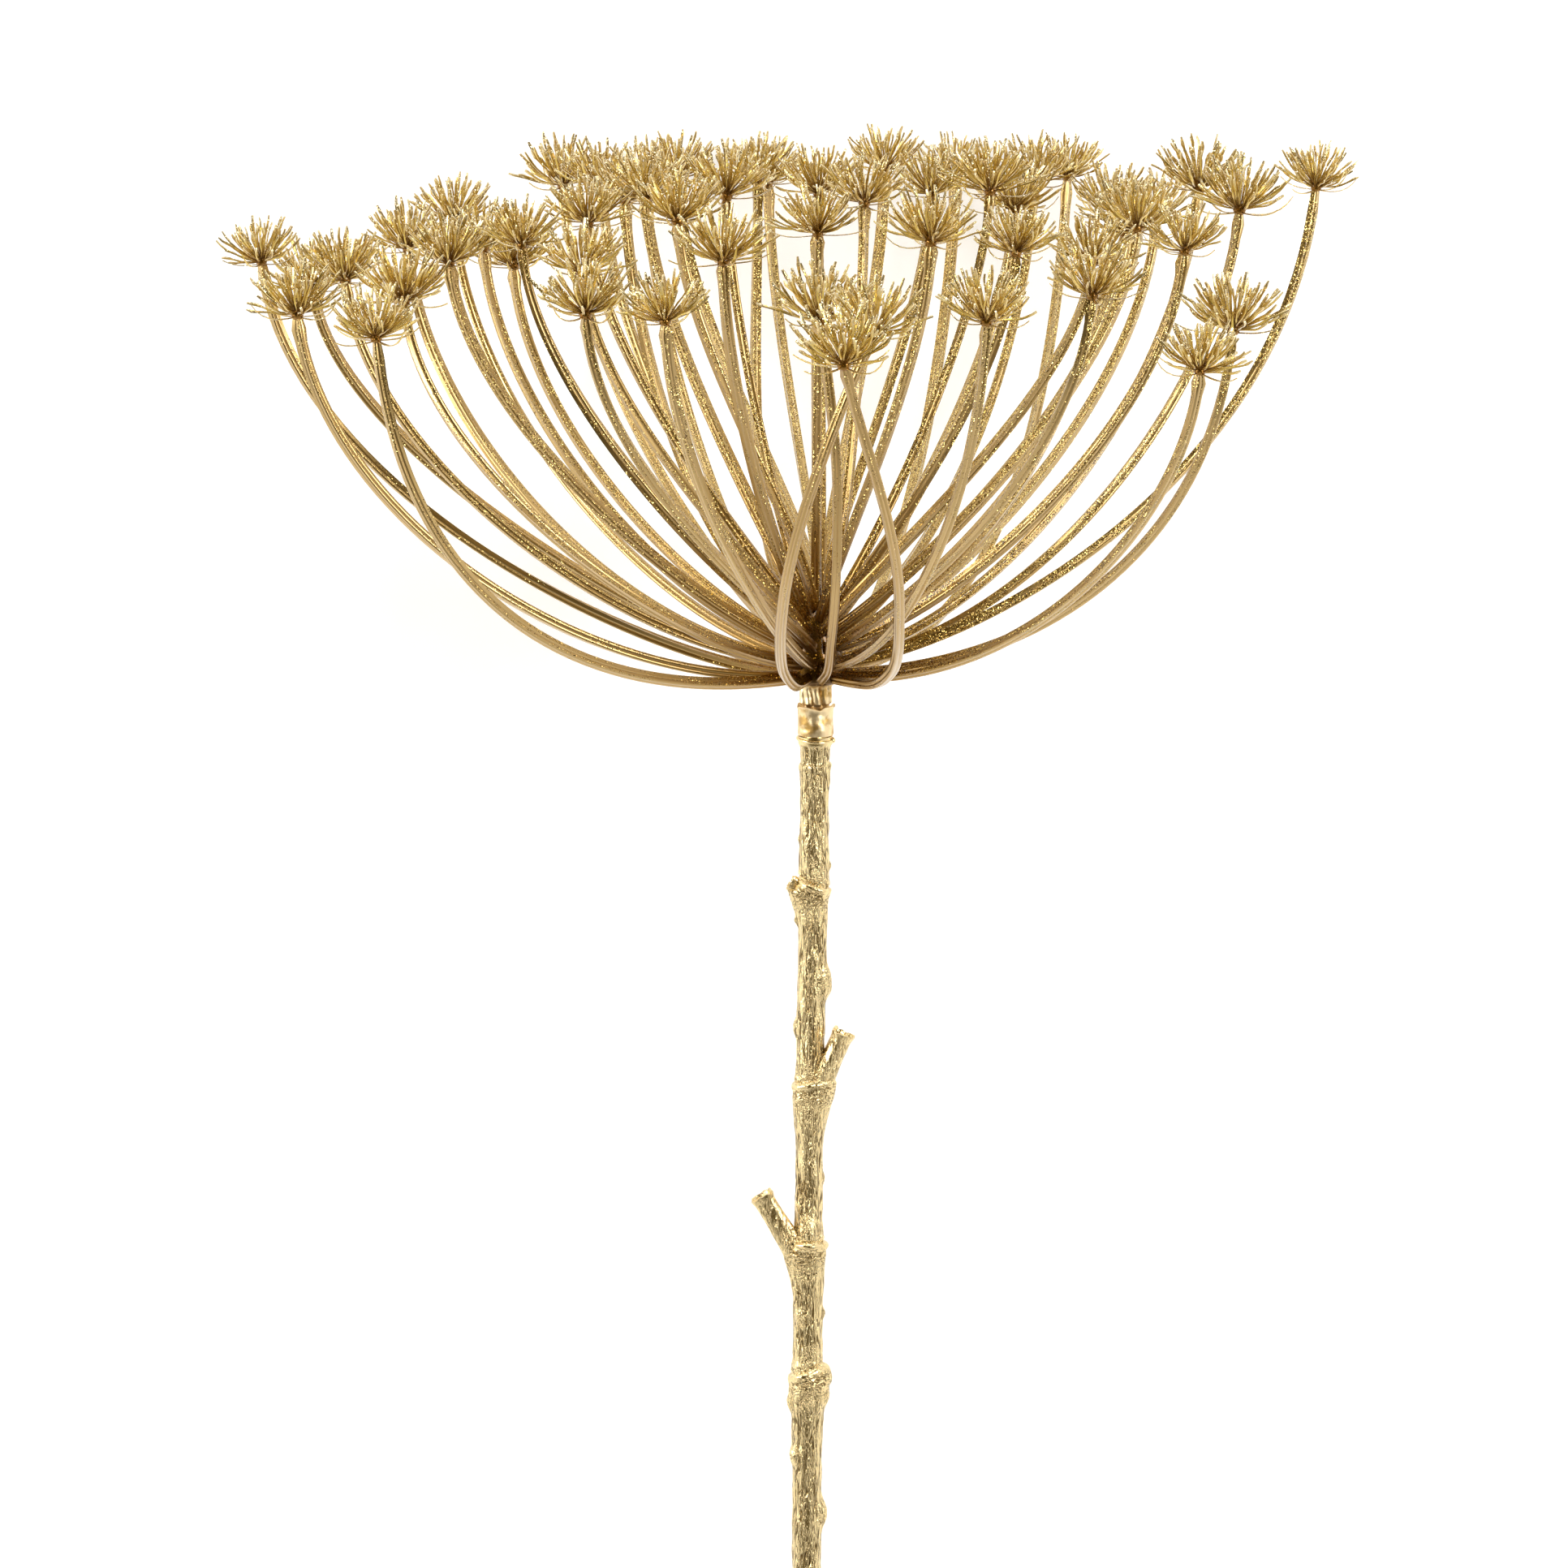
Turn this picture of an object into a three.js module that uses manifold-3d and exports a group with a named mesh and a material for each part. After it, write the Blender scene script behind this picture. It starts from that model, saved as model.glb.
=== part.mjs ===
// A gilded Queen Anne's lace stem for flower arranging: a bark-textured twig, a smooth
// ferrule, a hub, and 55 umbellets, each a curved ray that carries a brush of filaments.
// Millimetres. The flower is built as it grows, with +Z up the stem and the origin at the
// hub's foot, and is then laid down on three points: two heads of the rim and the cut end.

import * as THREE from "three";
import { mergeVertices } from "three/addons/utils/BufferGeometryUtils.js";
import Module from "manifold-3d";

// ---------------------------------------------------------------- driving dimensions

const STEM_END = -600; // height of the cut end, below the hub's foot
const GAP = 0.3; // clearance between pieces that seat on each other

// How the finished flower lies: the stem rises from its cut end towards the umbel.
const LIE_TILT_DEG = 10.5;
const LIE_ROLL_DEG = 0.5;

// Hub: a half ellipsoid on a fluted neck, with a spigot that goes down into the ferrule.
const HUB_RADIUS = 7.0;
const HUB_HEIGHT = 19.0;
const HUB_SIDES = 14;
const NECK_RADIUS = 4.0;
const NECK_FLUTE = 0.35;
const SPIGOT_RADIUS = 3.2;

// Ferrule: the smooth sleeve that joins the hub's neck to the twig.
const FERRULE_TOP = -6.7;
const FERRULE_BOTTOM = -14.2;
const FERRULE_RADIUS = 4.5;
const FERRULE_LIP_RADIUS = 5.0;
const FERRULE_BORE_RADIUS = 3.6;

// Twig.
const TWIG_SIDES = 10;
const TWIG_STATION_STEP = 17; // longest plain stretch between two rings of vertices
const BARK_RIDGE = 0.22;
const BARK_LUMP = 0.16;
const INTERNODE_SHORTEST = 41;
const INTERNODE_LONGEST = 50;

// Height and radius of the upper twig, from the bead under the ferrule to the fifth node.
const UPPER_TWIG = [
  [-14.5, 4.5],
  [-16.3, 4.5],
  [-17.4, 3.95],
  [-20.6, 3.8],
  [-21.4, 4.25],
  [-22.6, 3.85],
  [-34, 3.75],
  [-44, 4.15],
  [-50, 4.2],
  [-53, 4.5],
  [-55.5, 3.9],
  [-68, 3.6],
  [-80, 3.6],
  [-95, 3.65],
  [-99.5, 3.9],
  [-102, 4.8],
  [-105.5, 4.8],
  [-111, 4.1],
  [-115.5, 3.6],
  [-121, 3.4],
  [-135, 3.6],
  [-140, 4.1],
  [-142.7, 4.9],
  [-147, 4.3],
  [-153, 3.9],
  [-160, 3.7],
  [-172, 3.7],
  [-175.5, 4.4],
  [-178, 4.9],
  [-182.4, 4.9],
  [-186, 4.1],
  [-198, 3.7],
  [-212, 3.7],
  [-226, 3.6],
];

// How far the twig's centre wanders sideways at a height.
const TWIG_WANDER = [
  [-14, 0],
  [-45, -0.3],
  [-100, -1.2],
  [-160, -1.6],
  [-226, -1.8],
  [-330, -0.9],
  [-440, 0.8],
  [-520, 0.4],
  [-600, -0.8],
];

// Cut-off side shoots: height of the root, bearing, lean off the stem, length, radii.
const SHOOTS = [
  { height: -56, bearing: 180, lean: 52, length: 7.2, root: 2.2, tip: 1.7 },
  { height: -107.5, bearing: -8, lean: 24.5, length: 20.3, root: 3.6, tip: 2.8 },
  { height: -149.5, bearing: 185, lean: 31, length: 22.6, root: 3.5, tip: 2.7 },
  { height: -241, bearing: -18, lean: 27, length: 15, root: 2.9, tip: 2.3 },
  { height: -333, bearing: 196, lean: 33, length: 18, root: 2.9, tip: 2.4 },
  { height: -428, bearing: -30, lean: 24, length: 14, root: 2.8, tip: 2.2 },
];

// Buds and scars on the bark: height, bearing and radius.
const BUDS = [
  [-61.2, 180, 1.1],
  [-75.8, 0, 1.5],
  [-87.9, 178, 1.7],
  [-126, 0, 1.0],
  [-139.6, -90, 1.8],
  [-160.3, 0, 1.1],
  [-161.4, -120, 1.2],
  [-175.3, 0, 2.0],
  [-181.5, -10, 1.8],
  [-183.5, 184, 1.3],
  [-210.5, 4, 2.1],
];
const HIDDEN_BUDS = 6; // below the upper twig, placed by the seeded draw

// Rays: square rods that leave the hub in whorls and rise to the heads.
const RAY_WIDTH = 2.2;
const RAY_LEAN_AT_RIM_DEG = 6; // how far a rim head leans outwards
const RIM_RADIUS = 128;

// Heads: brushes of three-sided filaments that grow out of a small core.
const CORE_RADIUS = 2.0;
const FILAMENT_RADIUS = 0.58;
const FILAMENT_REACH = 11.2; // from the core's face to the tip
const FILAMENT_REACH_SPREAD = 0.9;
const FILAMENT_BEND_AT = 0.42; // share of the reach below the bend
const HEAD_TILT_DEG = 5;

// The whorls from the hub's foot to its top. Each gives its place on the hub, the rise of
// its rays where they leave, how far they keep that course, how far they come in along the
// head's own axis, and its heads in order of bearing: across, depth and height.
// A head may add its own course: out and in, or its rise and the points its ray bends through.
const WHORLS = [
  {
    place: 2, rise: 0, out: 0.36, in: 0.3, steps: 8,
    heads: [
      { at: [-126, -38, 96] },
      { at: [-106, -77, 96], out: 0.46, in: 0.41 },
      {
        at: [12, -100, 100],
        bend: [
          [-8, -28, 6], [-9.1, -46, 15], [-8.9, -62, 25.5], [-7.6, -77, 38.5],
          [-4.6, -88, 53], [-0.5, -95, 67], [5.5, -99, 84],
        ],
      },
      {
        at: [0, -75, 100], rise: 26,
        bend: [[3.4, -27, 13], [4.1, -42, 26], [4.5, -56, 43], [4.2, -66, 63], [2.4, -72, 82]],
      },
      {
        at: [5, -126, 97],
        bend: [
          [14.7, -24, 2.8], [18, -37, 8], [19.2, -52, 15], [19.3, -66, 23.5],
          [18.6, -86, 39.5], [16, -101, 55], [12.5, -112, 69], [8, -120, 85],
        ],
      },
      { at: [90, -96, 91], out: 0.31, in: 0.24 },
      { at: [99, -70, 97], out: 0.33, in: 0.36 },
      { at: [65, 114, 109] },
      { at: [37, 122, 108] },
      { at: [-42, 122, 106] },
      { at: [-124, 25, 93], out: 0.3, in: 0.26 },
      { at: [-136, 3, 103], out: 0.2, in: 0.36 },
    ],
  },
  {
    place: 13, rise: 9, out: 0.33, in: 0.3, steps: 8,
    heads: [
      { at: [-115, -14, 101] },
      { at: [-100, -49, 101] },
      { at: [-37, -104, 104] },
      { at: [39, -104, 104] },
      { at: [123, 14, 120], out: 0.22, in: 0.46 },
      { at: [105, 32, 112] },
      { at: [96, 57, 114] },
      { at: [87, 94, 102] },
      { at: [-11, 113, 108] },
      { at: [-63, 106, 108] },
      { at: [-90, 76, 103] },
      { at: [-101, 47, 100] },
    ],
  },
  {
    place: 25.5, rise: 20, out: 0.3, in: 0.3, steps: 7,
    heads: [
      { at: [-56, -85, 103] },
      { at: [65, -75, 106] },
      { at: [89, -27, 110] },
      { at: [75, 71, 106] },
      { at: [56, 89, 111] },
      { at: [-34, 98, 111] },
      { at: [-53, 81, 111] },
      { at: [-75, 53, 95] },
      { at: [-82, 28, 103] },
      { at: [-90, 2, 103] },
    ],
  },
  {
    place: 39.5, rise: 34, out: 0.26, in: 0.28, steps: 6,
    heads: [
      { at: [-72, -17, 110] },
      { at: [-57, -44, 107] },
      { at: [67, -12, 105] },
      { at: [79, 14, 110] },
      { at: [77, 40, 105] },
      { at: [50, 61, 108] },
      { at: [18, 84, 115] },
      { at: [-14, 74, 114] },
      { at: [-47, 56, 111] },
    ],
  },
  {
    place: 55, rise: 52, out: 0.22, in: 0.28, steps: 5,
    heads: [
      { at: [-23, -52, 111] },
      { at: [27, -47, 115] },
      { at: [48, -30, 110] },
      { at: [43, 22, 118] },
      { at: [29, 45, 114] },
      { at: [-42, 31, 115] },
      { at: [-56, 8, 112] },
    ],
  },
  {
    place: 70, rise: 70, out: 0.2, in: 0.28, steps: 5,
    heads: [
      { at: [-34, -11, 115] },
      { at: [12, 22, 115] },
      { at: [1, 47, 114] },
      { at: [-22, 13, 118] },
    ],
  },
  {
    place: 90, rise: 90, out: 0.2, in: 0.28, steps: 5,
    heads: [{ at: [0, -24, 114] }],
  },
];

// ---------------------------------------------------------------- small helpers

const wasm = await Module();
wasm.setup();

const radians = THREE.MathUtils.degToRad;
const lerp = THREE.MathUtils.lerp;
const UP = new THREE.Vector3(0, 0, 1);

// A seeded random draw between 0 and 1 (mulberry32).
function seeded(seed) {
  let state = seed >>> 0;
  return () => {
    state = (state + 0x6d2b79f5) >>> 0;
    let t = state;
    t = Math.imul(t ^ (t >>> 15), t | 1);
    t ^= t + Math.imul(t ^ (t >>> 7), t | 61);
    return ((t ^ (t >>> 14)) >>> 0) / 4294967296;
  };
}

// The direction with a bearing about +Z and a rise above the horizontal, in radians.
function direction(bearing, rise) {
  const flat = Math.cos(rise);
  return new THREE.Vector3(Math.cos(bearing) * flat, Math.sin(bearing) * flat, Math.sin(rise));
}

// A closed three.js geometry as a manifold-3d solid.
function solidOf(geometry) {
  const bare = new THREE.BufferGeometry();
  const source = geometry.index ? geometry.toNonIndexed() : geometry;
  bare.setAttribute("position", source.getAttribute("position"));
  const merged = mergeVertices(bare, 1e-4);
  return new wasm.Manifold(
    new wasm.Mesh({
      numProp: 3,
      vertProperties: merged.attributes.position.array,
      triVerts: new Uint32Array(merged.index.array),
    }),
  );
}

// A manifold-3d solid as a three.js geometry with flat shading.
function geometryOf(solid) {
  const mesh = solid.getMesh();
  const indexed = new THREE.BufferGeometry();
  indexed.setAttribute("position", new THREE.BufferAttribute(mesh.vertProperties, mesh.numProp));
  indexed.setIndex(new THREE.BufferAttribute(mesh.triVerts, 1));
  const flat = indexed.toNonIndexed();
  flat.computeVertexNormals();
  return flat;
}

// The value at x in a list of [x, value] pairs whose x goes down, straight between them.
function along(pairs, x) {
  const last = pairs.length - 1;
  if (x >= pairs[0][0]) return pairs[0][1];
  if (x <= pairs[last][0]) return pairs[last][1];
  const i = pairs.findIndex((pair) => pair[0] <= x);
  const [x0, v0] = pairs[i - 1];
  const [x1, v1] = pairs[i];
  return lerp(v0, v1, (x - x0) / (x1 - x0));
}

// A turned solid whose axis is +Z, from radius and height pairs.
function turned(pairs, sides) {
  const profile = pairs.map(([radius, height]) => new THREE.Vector2(radius, height));
  return new THREE.LatheGeometry(profile, sides).rotateX(Math.PI / 2);
}

// ---------------------------------------------------------------- twig

// The upper twig's stations, then nodes at seeded distances down to the cut end.
function twigStations() {
  const random = seeded(11);
  const coarse = [...UPPER_TWIG];
  let node = -226 - lerp(6, 10, random());
  while (node > STEM_END + 20) {
    const swell = lerp(0.7, 1.2, random());
    coarse.push([node + 4.5, 3.7], [node, 3.7 + swell]);
    coarse.push([node - 3.5, 3.6 + swell], [node - 9, 3.9]);
    node -= lerp(INTERNODE_SHORTEST, INTERNODE_LONGEST, random());
  }
  coarse.push([STEM_END, 3.7]);
  const fine = [];
  coarse.forEach(([height, radius], i) => {
    if (i > 0) {
      const [above, radiusAbove] = coarse[i - 1];
      const parts = Math.ceil((above - height) / TWIG_STATION_STEP);
      for (let k = 1; k < parts; k++) {
        fine.push([lerp(above, height, k / parts), lerp(radiusAbove, radius, k / parts)]);
      }
    }
    fine.push([height, radius]);
  });
  return fine;
}

// The twig's centre at a height.
function twigCentre(height) {
  const depth = 0.5 * Math.sin((height - FERRULE_BOTTOM) / 70);
  return new THREE.Vector3(along(TWIG_WANDER, height), depth, height);
}

// Raises the bark's ridges and lumps on a turned twig and bends it along its centre line.
function raiseBark(geometry) {
  const position = geometry.getAttribute("position");
  const point = new THREE.Vector3();
  for (let i = 0; i < position.count; i++) {
    point.fromBufferAttribute(position, i);
    const radius = Math.hypot(point.x, point.y);
    const height = point.z;
    const centre = twigCentre(height);
    if (radius > SPIGOT_RADIUS + 0.1 && height < -17) {
      const bearing = Math.atan2(point.y, point.x);
      const facet = Math.cos((TWIG_SIDES / 2) * (bearing + Math.PI / 2));
      const ridge = BARK_RIDGE * facet * Math.cos(height / 9);
      const lump = BARK_LUMP * Math.sin(2 * bearing + height / 6.5);
      const scale = (radius + ridge + lump) / radius;
      point.x *= scale;
      point.y *= scale;
    }
    position.setXYZ(i, point.x + centre.x, point.y + centre.y, height);
  }
  return geometry;
}

// A cut-off side shoot: a tapered stub with a flat end.
function shoot({ height, bearing, lean, length, root, tip }) {
  const sides = 7;
  const stub = new THREE.CylinderGeometry(tip, root, length, sides, 1);
  stub.translate(0, length / 2, 0).rotateX(Math.PI / 2);
  const axis = direction(radians(bearing), radians(90 - lean));
  const turn = new THREE.Quaternion().setFromUnitVectors(UP, axis);
  const centre = twigCentre(height);
  return stub.applyQuaternion(turn).translate(centre.x, centre.y, centre.z);
}

// A bud or scar: a low pointed knob on the bark.
function bud([height, bearing, radius], stations) {
  const knob = new THREE.IcosahedronGeometry(radius, 0);
  const reach = along(stations, height) - 0.35 * radius;
  const centre = twigCentre(height).addScaledVector(direction(radians(bearing), 0), reach);
  return knob.scale(1, 1, 1.35).translate(centre.x, centre.y, centre.z);
}

function twig() {
  const stations = twigStations();
  const top = FERRULE_BOTTOM - GAP;
  const spigotTop = top + 3.5;
  const profile = [[0, STEM_END]];
  [...stations].reverse().forEach(([height, radius]) => profile.push([radius, height]));
  profile.push([SPIGOT_RADIUS, top], [SPIGOT_RADIUS, spigotTop], [0, spigotTop]);
  let solid = solidOf(raiseBark(turned(profile, TWIG_SIDES)));
  SHOOTS.forEach((one) => {
    solid = solid.add(solidOf(shoot(one)));
  });
  const random = seeded(23);
  const buds = [...BUDS];
  for (let i = 0; i < HIDDEN_BUDS; i++) {
    const height = lerp(-236, STEM_END + 30, (i + random()) / HIDDEN_BUDS);
    buds.push([height, lerp(-200, 20, random()), lerp(1.1, 1.9, random())]);
  }
  buds.forEach((one) => {
    solid = solid.add(solidOf(bud(one, stations)));
  });
  return geometryOf(solid);
}

// ---------------------------------------------------------------- ferrule and hub

function ferrule() {
  const profile = [
    [FERRULE_BORE_RADIUS, FERRULE_BOTTOM],
    [FERRULE_RADIUS, FERRULE_BOTTOM],
    [FERRULE_RADIUS + 0.05, FERRULE_BOTTOM + 2.5],
    [FERRULE_RADIUS - 0.1, FERRULE_TOP - 2.5],
    [FERRULE_RADIUS, FERRULE_TOP - 0.9],
    [FERRULE_LIP_RADIUS, FERRULE_TOP],
    [FERRULE_BORE_RADIUS, FERRULE_TOP],
    [FERRULE_BORE_RADIUS, FERRULE_BOTTOM],
  ];
  return geometryOf(solidOf(turned(profile, HUB_SIDES)));
}

// A point of the hub's half ellipsoid and the direction it faces, from its parametric
// height (0 at the foot, 90 degrees at the top) and a bearing.
function hubSeat(place, bearing) {
  const ring = HUB_RADIUS * Math.cos(place);
  const point = new THREE.Vector3(
    ring * Math.cos(bearing),
    ring * Math.sin(bearing),
    HUB_HEIGHT * Math.sin(place),
  );
  const rise = Math.atan2(Math.sin(place) / HUB_HEIGHT, Math.cos(place) / HUB_RADIUS);
  const facing = direction(bearing, rise);
  return { point, facing };
}

function hub() {
  const seat = FERRULE_TOP + GAP;
  const profile = [
    [0, seat - 3.9],
    [SPIGOT_RADIUS, seat - 3.9],
    [SPIGOT_RADIUS, seat],
    [NECK_RADIUS, seat],
    [NECK_RADIUS, -1.9],
    [HUB_RADIUS - 0.4, -0.9],
  ];
  const rings = 6;
  for (let i = 0; i <= rings; i++) {
    const place = (i / rings) * (Math.PI / 2);
    profile.push([i === rings ? 0 : HUB_RADIUS * Math.cos(place), HUB_HEIGHT * Math.sin(place)]);
  }
  const geometry = turned(profile, HUB_SIDES);
  const position = geometry.getAttribute("position");
  for (let i = 0; i < position.count; i++) {
    const x = position.getX(i);
    const y = position.getY(i);
    if (Math.abs(Math.hypot(x, y) - NECK_RADIUS) > 0.01 || position.getZ(i) > 0) continue;
    const side = Math.floor(i / profile.length);
    const scale = 1 - ((side % 2) * NECK_FLUTE) / NECK_RADIUS;
    position.setX(i, x * scale);
    position.setY(i, y * scale);
  }
  return geometryOf(solidOf(geometry));
}

// ---------------------------------------------------------------- umbellets

// The bearing of a whorl's first ray: its rays are evenly spread, turned as a whole to
// point at their heads as nearly as they can.
function whorlPhase(heads) {
  let across = 0;
  let depth = 0;
  heads.forEach(({ at, bend }, i) => {
    const first = bend ? bend[0] : at;
    const miss = Math.atan2(first[1], first[0]) - (i * 2 * Math.PI) / heads.length;
    across += Math.cos(miss);
    depth += Math.sin(miss);
  });
  return Math.atan2(depth, across);
}

// The axis that a head stands on: upright in the middle, leaning outwards at the rim.
function headAxis(at) {
  const bearing = Math.atan2(at.y, at.x);
  const lean = radians(RAY_LEAN_AT_RIM_DEG) * (Math.hypot(at.x, at.y) / RIM_RADIUS);
  return direction(bearing, Math.PI / 2 - lean);
}

// A ray's course from its seat on the hub to its head.
function rayPath(whorl, head, bearing) {
  const { point, facing } = hubSeat(radians(whorl.place), bearing);
  const leaving = direction(bearing, radians(head.rise ?? whorl.rise));
  const slant = leaving.angleTo(facing);
  const clear = GAP + 0.12 + 0.55 * RAY_WIDTH * Math.sin(slant);
  const start = point.addScaledVector(facing, clear);
  const at = new THREE.Vector3(...head.at);
  const axis = headAxis(at);
  const end = at.clone().addScaledVector(axis, -0.3);
  if (head.bend) {
    const near = start.clone().addScaledVector(leaving, 9);
    const bends = head.bend.map((place) => new THREE.Vector3(...place));
    return new THREE.CatmullRomCurve3([start, near, ...bends, end], false, "centripetal");
  }
  const length = start.distanceTo(end);
  const out = start.clone().addScaledVector(leaving, (head.out ?? whorl.out) * length);
  const back = end.clone().addScaledVector(axis, -(head.in ?? whorl.in) * length);
  return new THREE.CubicBezierCurve3(start, out, back, end);
}

function ray(path, steps) {
  const half = RAY_WIDTH / 2;
  const section = new THREE.Shape([
    new THREE.Vector2(-half, -half),
    new THREE.Vector2(half, -half),
    new THREE.Vector2(half, half),
    new THREE.Vector2(-half, half),
  ]);
  return new THREE.ExtrudeGeometry(section, { steps, extrudePath: path, bevelEnabled: false });
}

// Three corners of a filament's section round a centre, square to a direction, in the
// order of the face's own corners, so that the filament doesn't twist.
function sectionAt(centre, along, corners) {
  const middle = corners[0].clone().add(corners[1]).add(corners[2]).divideScalar(3);
  return corners.map((corner) => {
    const arm = corner.clone().sub(middle);
    arm.addScaledVector(along, -arm.dot(along)).normalize();
    return centre.clone().addScaledVector(arm, FILAMENT_RADIUS);
  });
}

// A head about the origin, opening towards +Z: an icosahedral core with a filament drawn
// out of every face but the five that close on the ray.
function headGeometry(random) {
  const core = new THREE.IcosahedronGeometry(CORE_RADIUS, 0);
  const source = core.getAttribute("position");
  const pole = new THREE.Vector3().fromBufferAttribute(source, 0).normalize();
  core.applyQuaternion(new THREE.Quaternion().setFromUnitVectors(pole, UP));
  core.rotateZ(random() * 2 * Math.PI);
  const triangles = [];
  const wall = (low, high) => {
    for (let k = 0; k < 3; k++) {
      const next = (k + 1) % 3;
      triangles.push(low[k], low[next], high[next]);
      triangles.push(low[k], high[next], high[k]);
    }
  };
  for (let i = 0; i < source.count; i += 3) {
    const face = [0, 1, 2].map((k) => new THREE.Vector3().fromBufferAttribute(source, i + k));
    const middle = face[0].clone().add(face[1]).add(face[2]).divideScalar(3);
    const facing = Math.asin(middle.z / middle.length());
    if (facing < radians(-30)) {
      triangles.push(...face);
      continue;
    }
    // The cap's filaments stand steeply, and the two rows of the band spread out below.
    const steep = facing > radians(30) ? 66 : facing > 0 ? 37 : 13;
    const rise = radians(steep + lerp(-6, 6, random()));
    const bearing = Math.atan2(middle.y, middle.x) + radians(lerp(-8, 8, random()));
    const reach = FILAMENT_REACH + lerp(-1, 1, random()) * FILAMENT_REACH_SPREAD;
    const low = direction(bearing, rise - radians(7));
    const high = direction(bearing, rise + radians(8));
    const bend = middle.clone().addScaledVector(low, reach * FILAMENT_BEND_AT);
    const tip = bend.clone().addScaledVector(high, reach * (1 - FILAMENT_BEND_AT));
    const bendRing = sectionAt(bend, direction(bearing, rise), face);
    const tipRing = sectionAt(tip, high, face);
    wall(face, bendRing);
    wall(bendRing, tipRing);
    triangles.push(...tipRing);
  }
  return new THREE.BufferGeometry().setFromPoints(triangles);
}

function umbellet(whorl, head, bearing, random) {
  const at = new THREE.Vector3(...head.at);
  const tilt = direction(random() * 2 * Math.PI, Math.PI / 2 - radians(HEAD_TILT_DEG) * random());
  const axis = headAxis(at).add(tilt).normalize();
  const brush = headGeometry(random);
  brush.applyQuaternion(new THREE.Quaternion().setFromUnitVectors(UP, axis));
  brush.translate(at.x, at.y, at.z);
  const rod = ray(rayPath(whorl, head, bearing), head.bend ? 15 : whorl.steps);
  return geometryOf(solidOf(rod).add(solidOf(brush)));
}

// ---------------------------------------------------------------- the flower

const barkGold = new THREE.MeshStandardMaterial({ color: 0xcfae62, metalness: 0.9, roughness: 0.28 });
const sleeveGold = new THREE.MeshStandardMaterial({ color: 0xe3c684, metalness: 0.9, roughness: 0.2 });
const hubGold = new THREE.MeshStandardMaterial({ color: 0x9a7a38, metalness: 0.8, roughness: 0.4 });
const rayGold = new THREE.MeshStandardMaterial({ color: 0xc8a663, metalness: 0.7, roughness: 0.42 });

function piece(name, geometry, material) {
  const mesh = new THREE.Mesh(geometry, material);
  mesh.name = name;
  return mesh;
}

function grownFlower() {
  const flower = new THREE.Group();
  flower.add(piece("twig", twig(), barkGold));
  flower.add(piece("ferrule", ferrule(), sleeveGold));
  flower.add(piece("hub", hub(), hubGold));
  const random = seeded(7);
  let count = 0;
  WHORLS.forEach((whorl) => {
    const phase = whorlPhase(whorl.heads);
    whorl.heads.forEach((head, i) => {
      const bearing = phase + (i * 2 * Math.PI) / whorl.heads.length;
      count += 1;
      const name = "umbellet_" + String(count).padStart(2, "0");
      flower.add(piece(name, umbellet(whorl, head, bearing, random), rayGold));
    });
  });
  return flower;
}

// Lays the flower down, depth side under, and sets the origin at the bottom centre of its box.
function laidDown(flower) {
  const lying = new THREE.Group();
  const fall = -Math.PI / 2 + radians(LIE_TILT_DEG);
  flower.rotation.set(fall, radians(LIE_ROLL_DEG), 0, "YXZ");
  lying.add(flower);
  lying.updateMatrixWorld(true);
  const box = new THREE.Box3().setFromObject(lying, true);
  const centre = box.getCenter(new THREE.Vector3());
  flower.position.set(-centre.x, -centre.y, -box.min.z);
  return lying;
}

export default laidDown(grownFlower());
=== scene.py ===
"""A gilded Queen Anne's lace stem for flower arranging, lying on a pale floor.

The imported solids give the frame. Every visible piece is rebuilt here with the finish of the
real one: plastic moulded over wire, lacquered gold, and sprinkled with glitter on the umbel.
Sizes are in millimetres in the flower's own frame, with Z up the stem, depth along Y and the
origin at the hub's foot. Lie lays them down in the row's frame, in metres.
"""

import logging
import math
import random
from collections.abc import Iterator
from dataclasses import dataclass, field
from enum import Enum

import bmesh
import bpy
from mathutils import Matrix, Quaternion, Vector, noise

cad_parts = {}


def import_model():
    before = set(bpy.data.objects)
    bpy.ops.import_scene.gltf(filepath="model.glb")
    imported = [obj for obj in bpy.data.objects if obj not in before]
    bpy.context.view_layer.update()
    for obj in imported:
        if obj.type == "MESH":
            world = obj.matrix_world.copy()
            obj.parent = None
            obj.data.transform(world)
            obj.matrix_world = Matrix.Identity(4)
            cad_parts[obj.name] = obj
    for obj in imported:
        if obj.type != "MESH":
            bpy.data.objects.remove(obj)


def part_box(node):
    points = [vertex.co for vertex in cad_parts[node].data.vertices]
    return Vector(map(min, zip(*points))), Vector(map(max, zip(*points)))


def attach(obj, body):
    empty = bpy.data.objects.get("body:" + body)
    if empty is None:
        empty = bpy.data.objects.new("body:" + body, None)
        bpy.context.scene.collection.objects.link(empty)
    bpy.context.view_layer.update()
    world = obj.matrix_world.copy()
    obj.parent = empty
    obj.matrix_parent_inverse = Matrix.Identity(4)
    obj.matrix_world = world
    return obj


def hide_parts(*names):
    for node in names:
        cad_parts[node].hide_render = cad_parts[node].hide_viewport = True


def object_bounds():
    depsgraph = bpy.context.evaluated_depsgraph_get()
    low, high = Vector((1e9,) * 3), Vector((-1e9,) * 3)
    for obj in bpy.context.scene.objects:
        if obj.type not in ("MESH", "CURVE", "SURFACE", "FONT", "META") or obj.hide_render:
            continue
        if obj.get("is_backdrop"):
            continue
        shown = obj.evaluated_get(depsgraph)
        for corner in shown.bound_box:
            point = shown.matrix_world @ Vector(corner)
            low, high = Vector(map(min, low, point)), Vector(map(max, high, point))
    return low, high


MM = 0.001
BODY = "root"
UP = Vector((0, 0, 1))
log = logging.getLogger("flower")

Pair = tuple[float, float]
Triple = tuple[float, float, float]


# ------------------------------------------------------------------ numbers and directions


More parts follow.
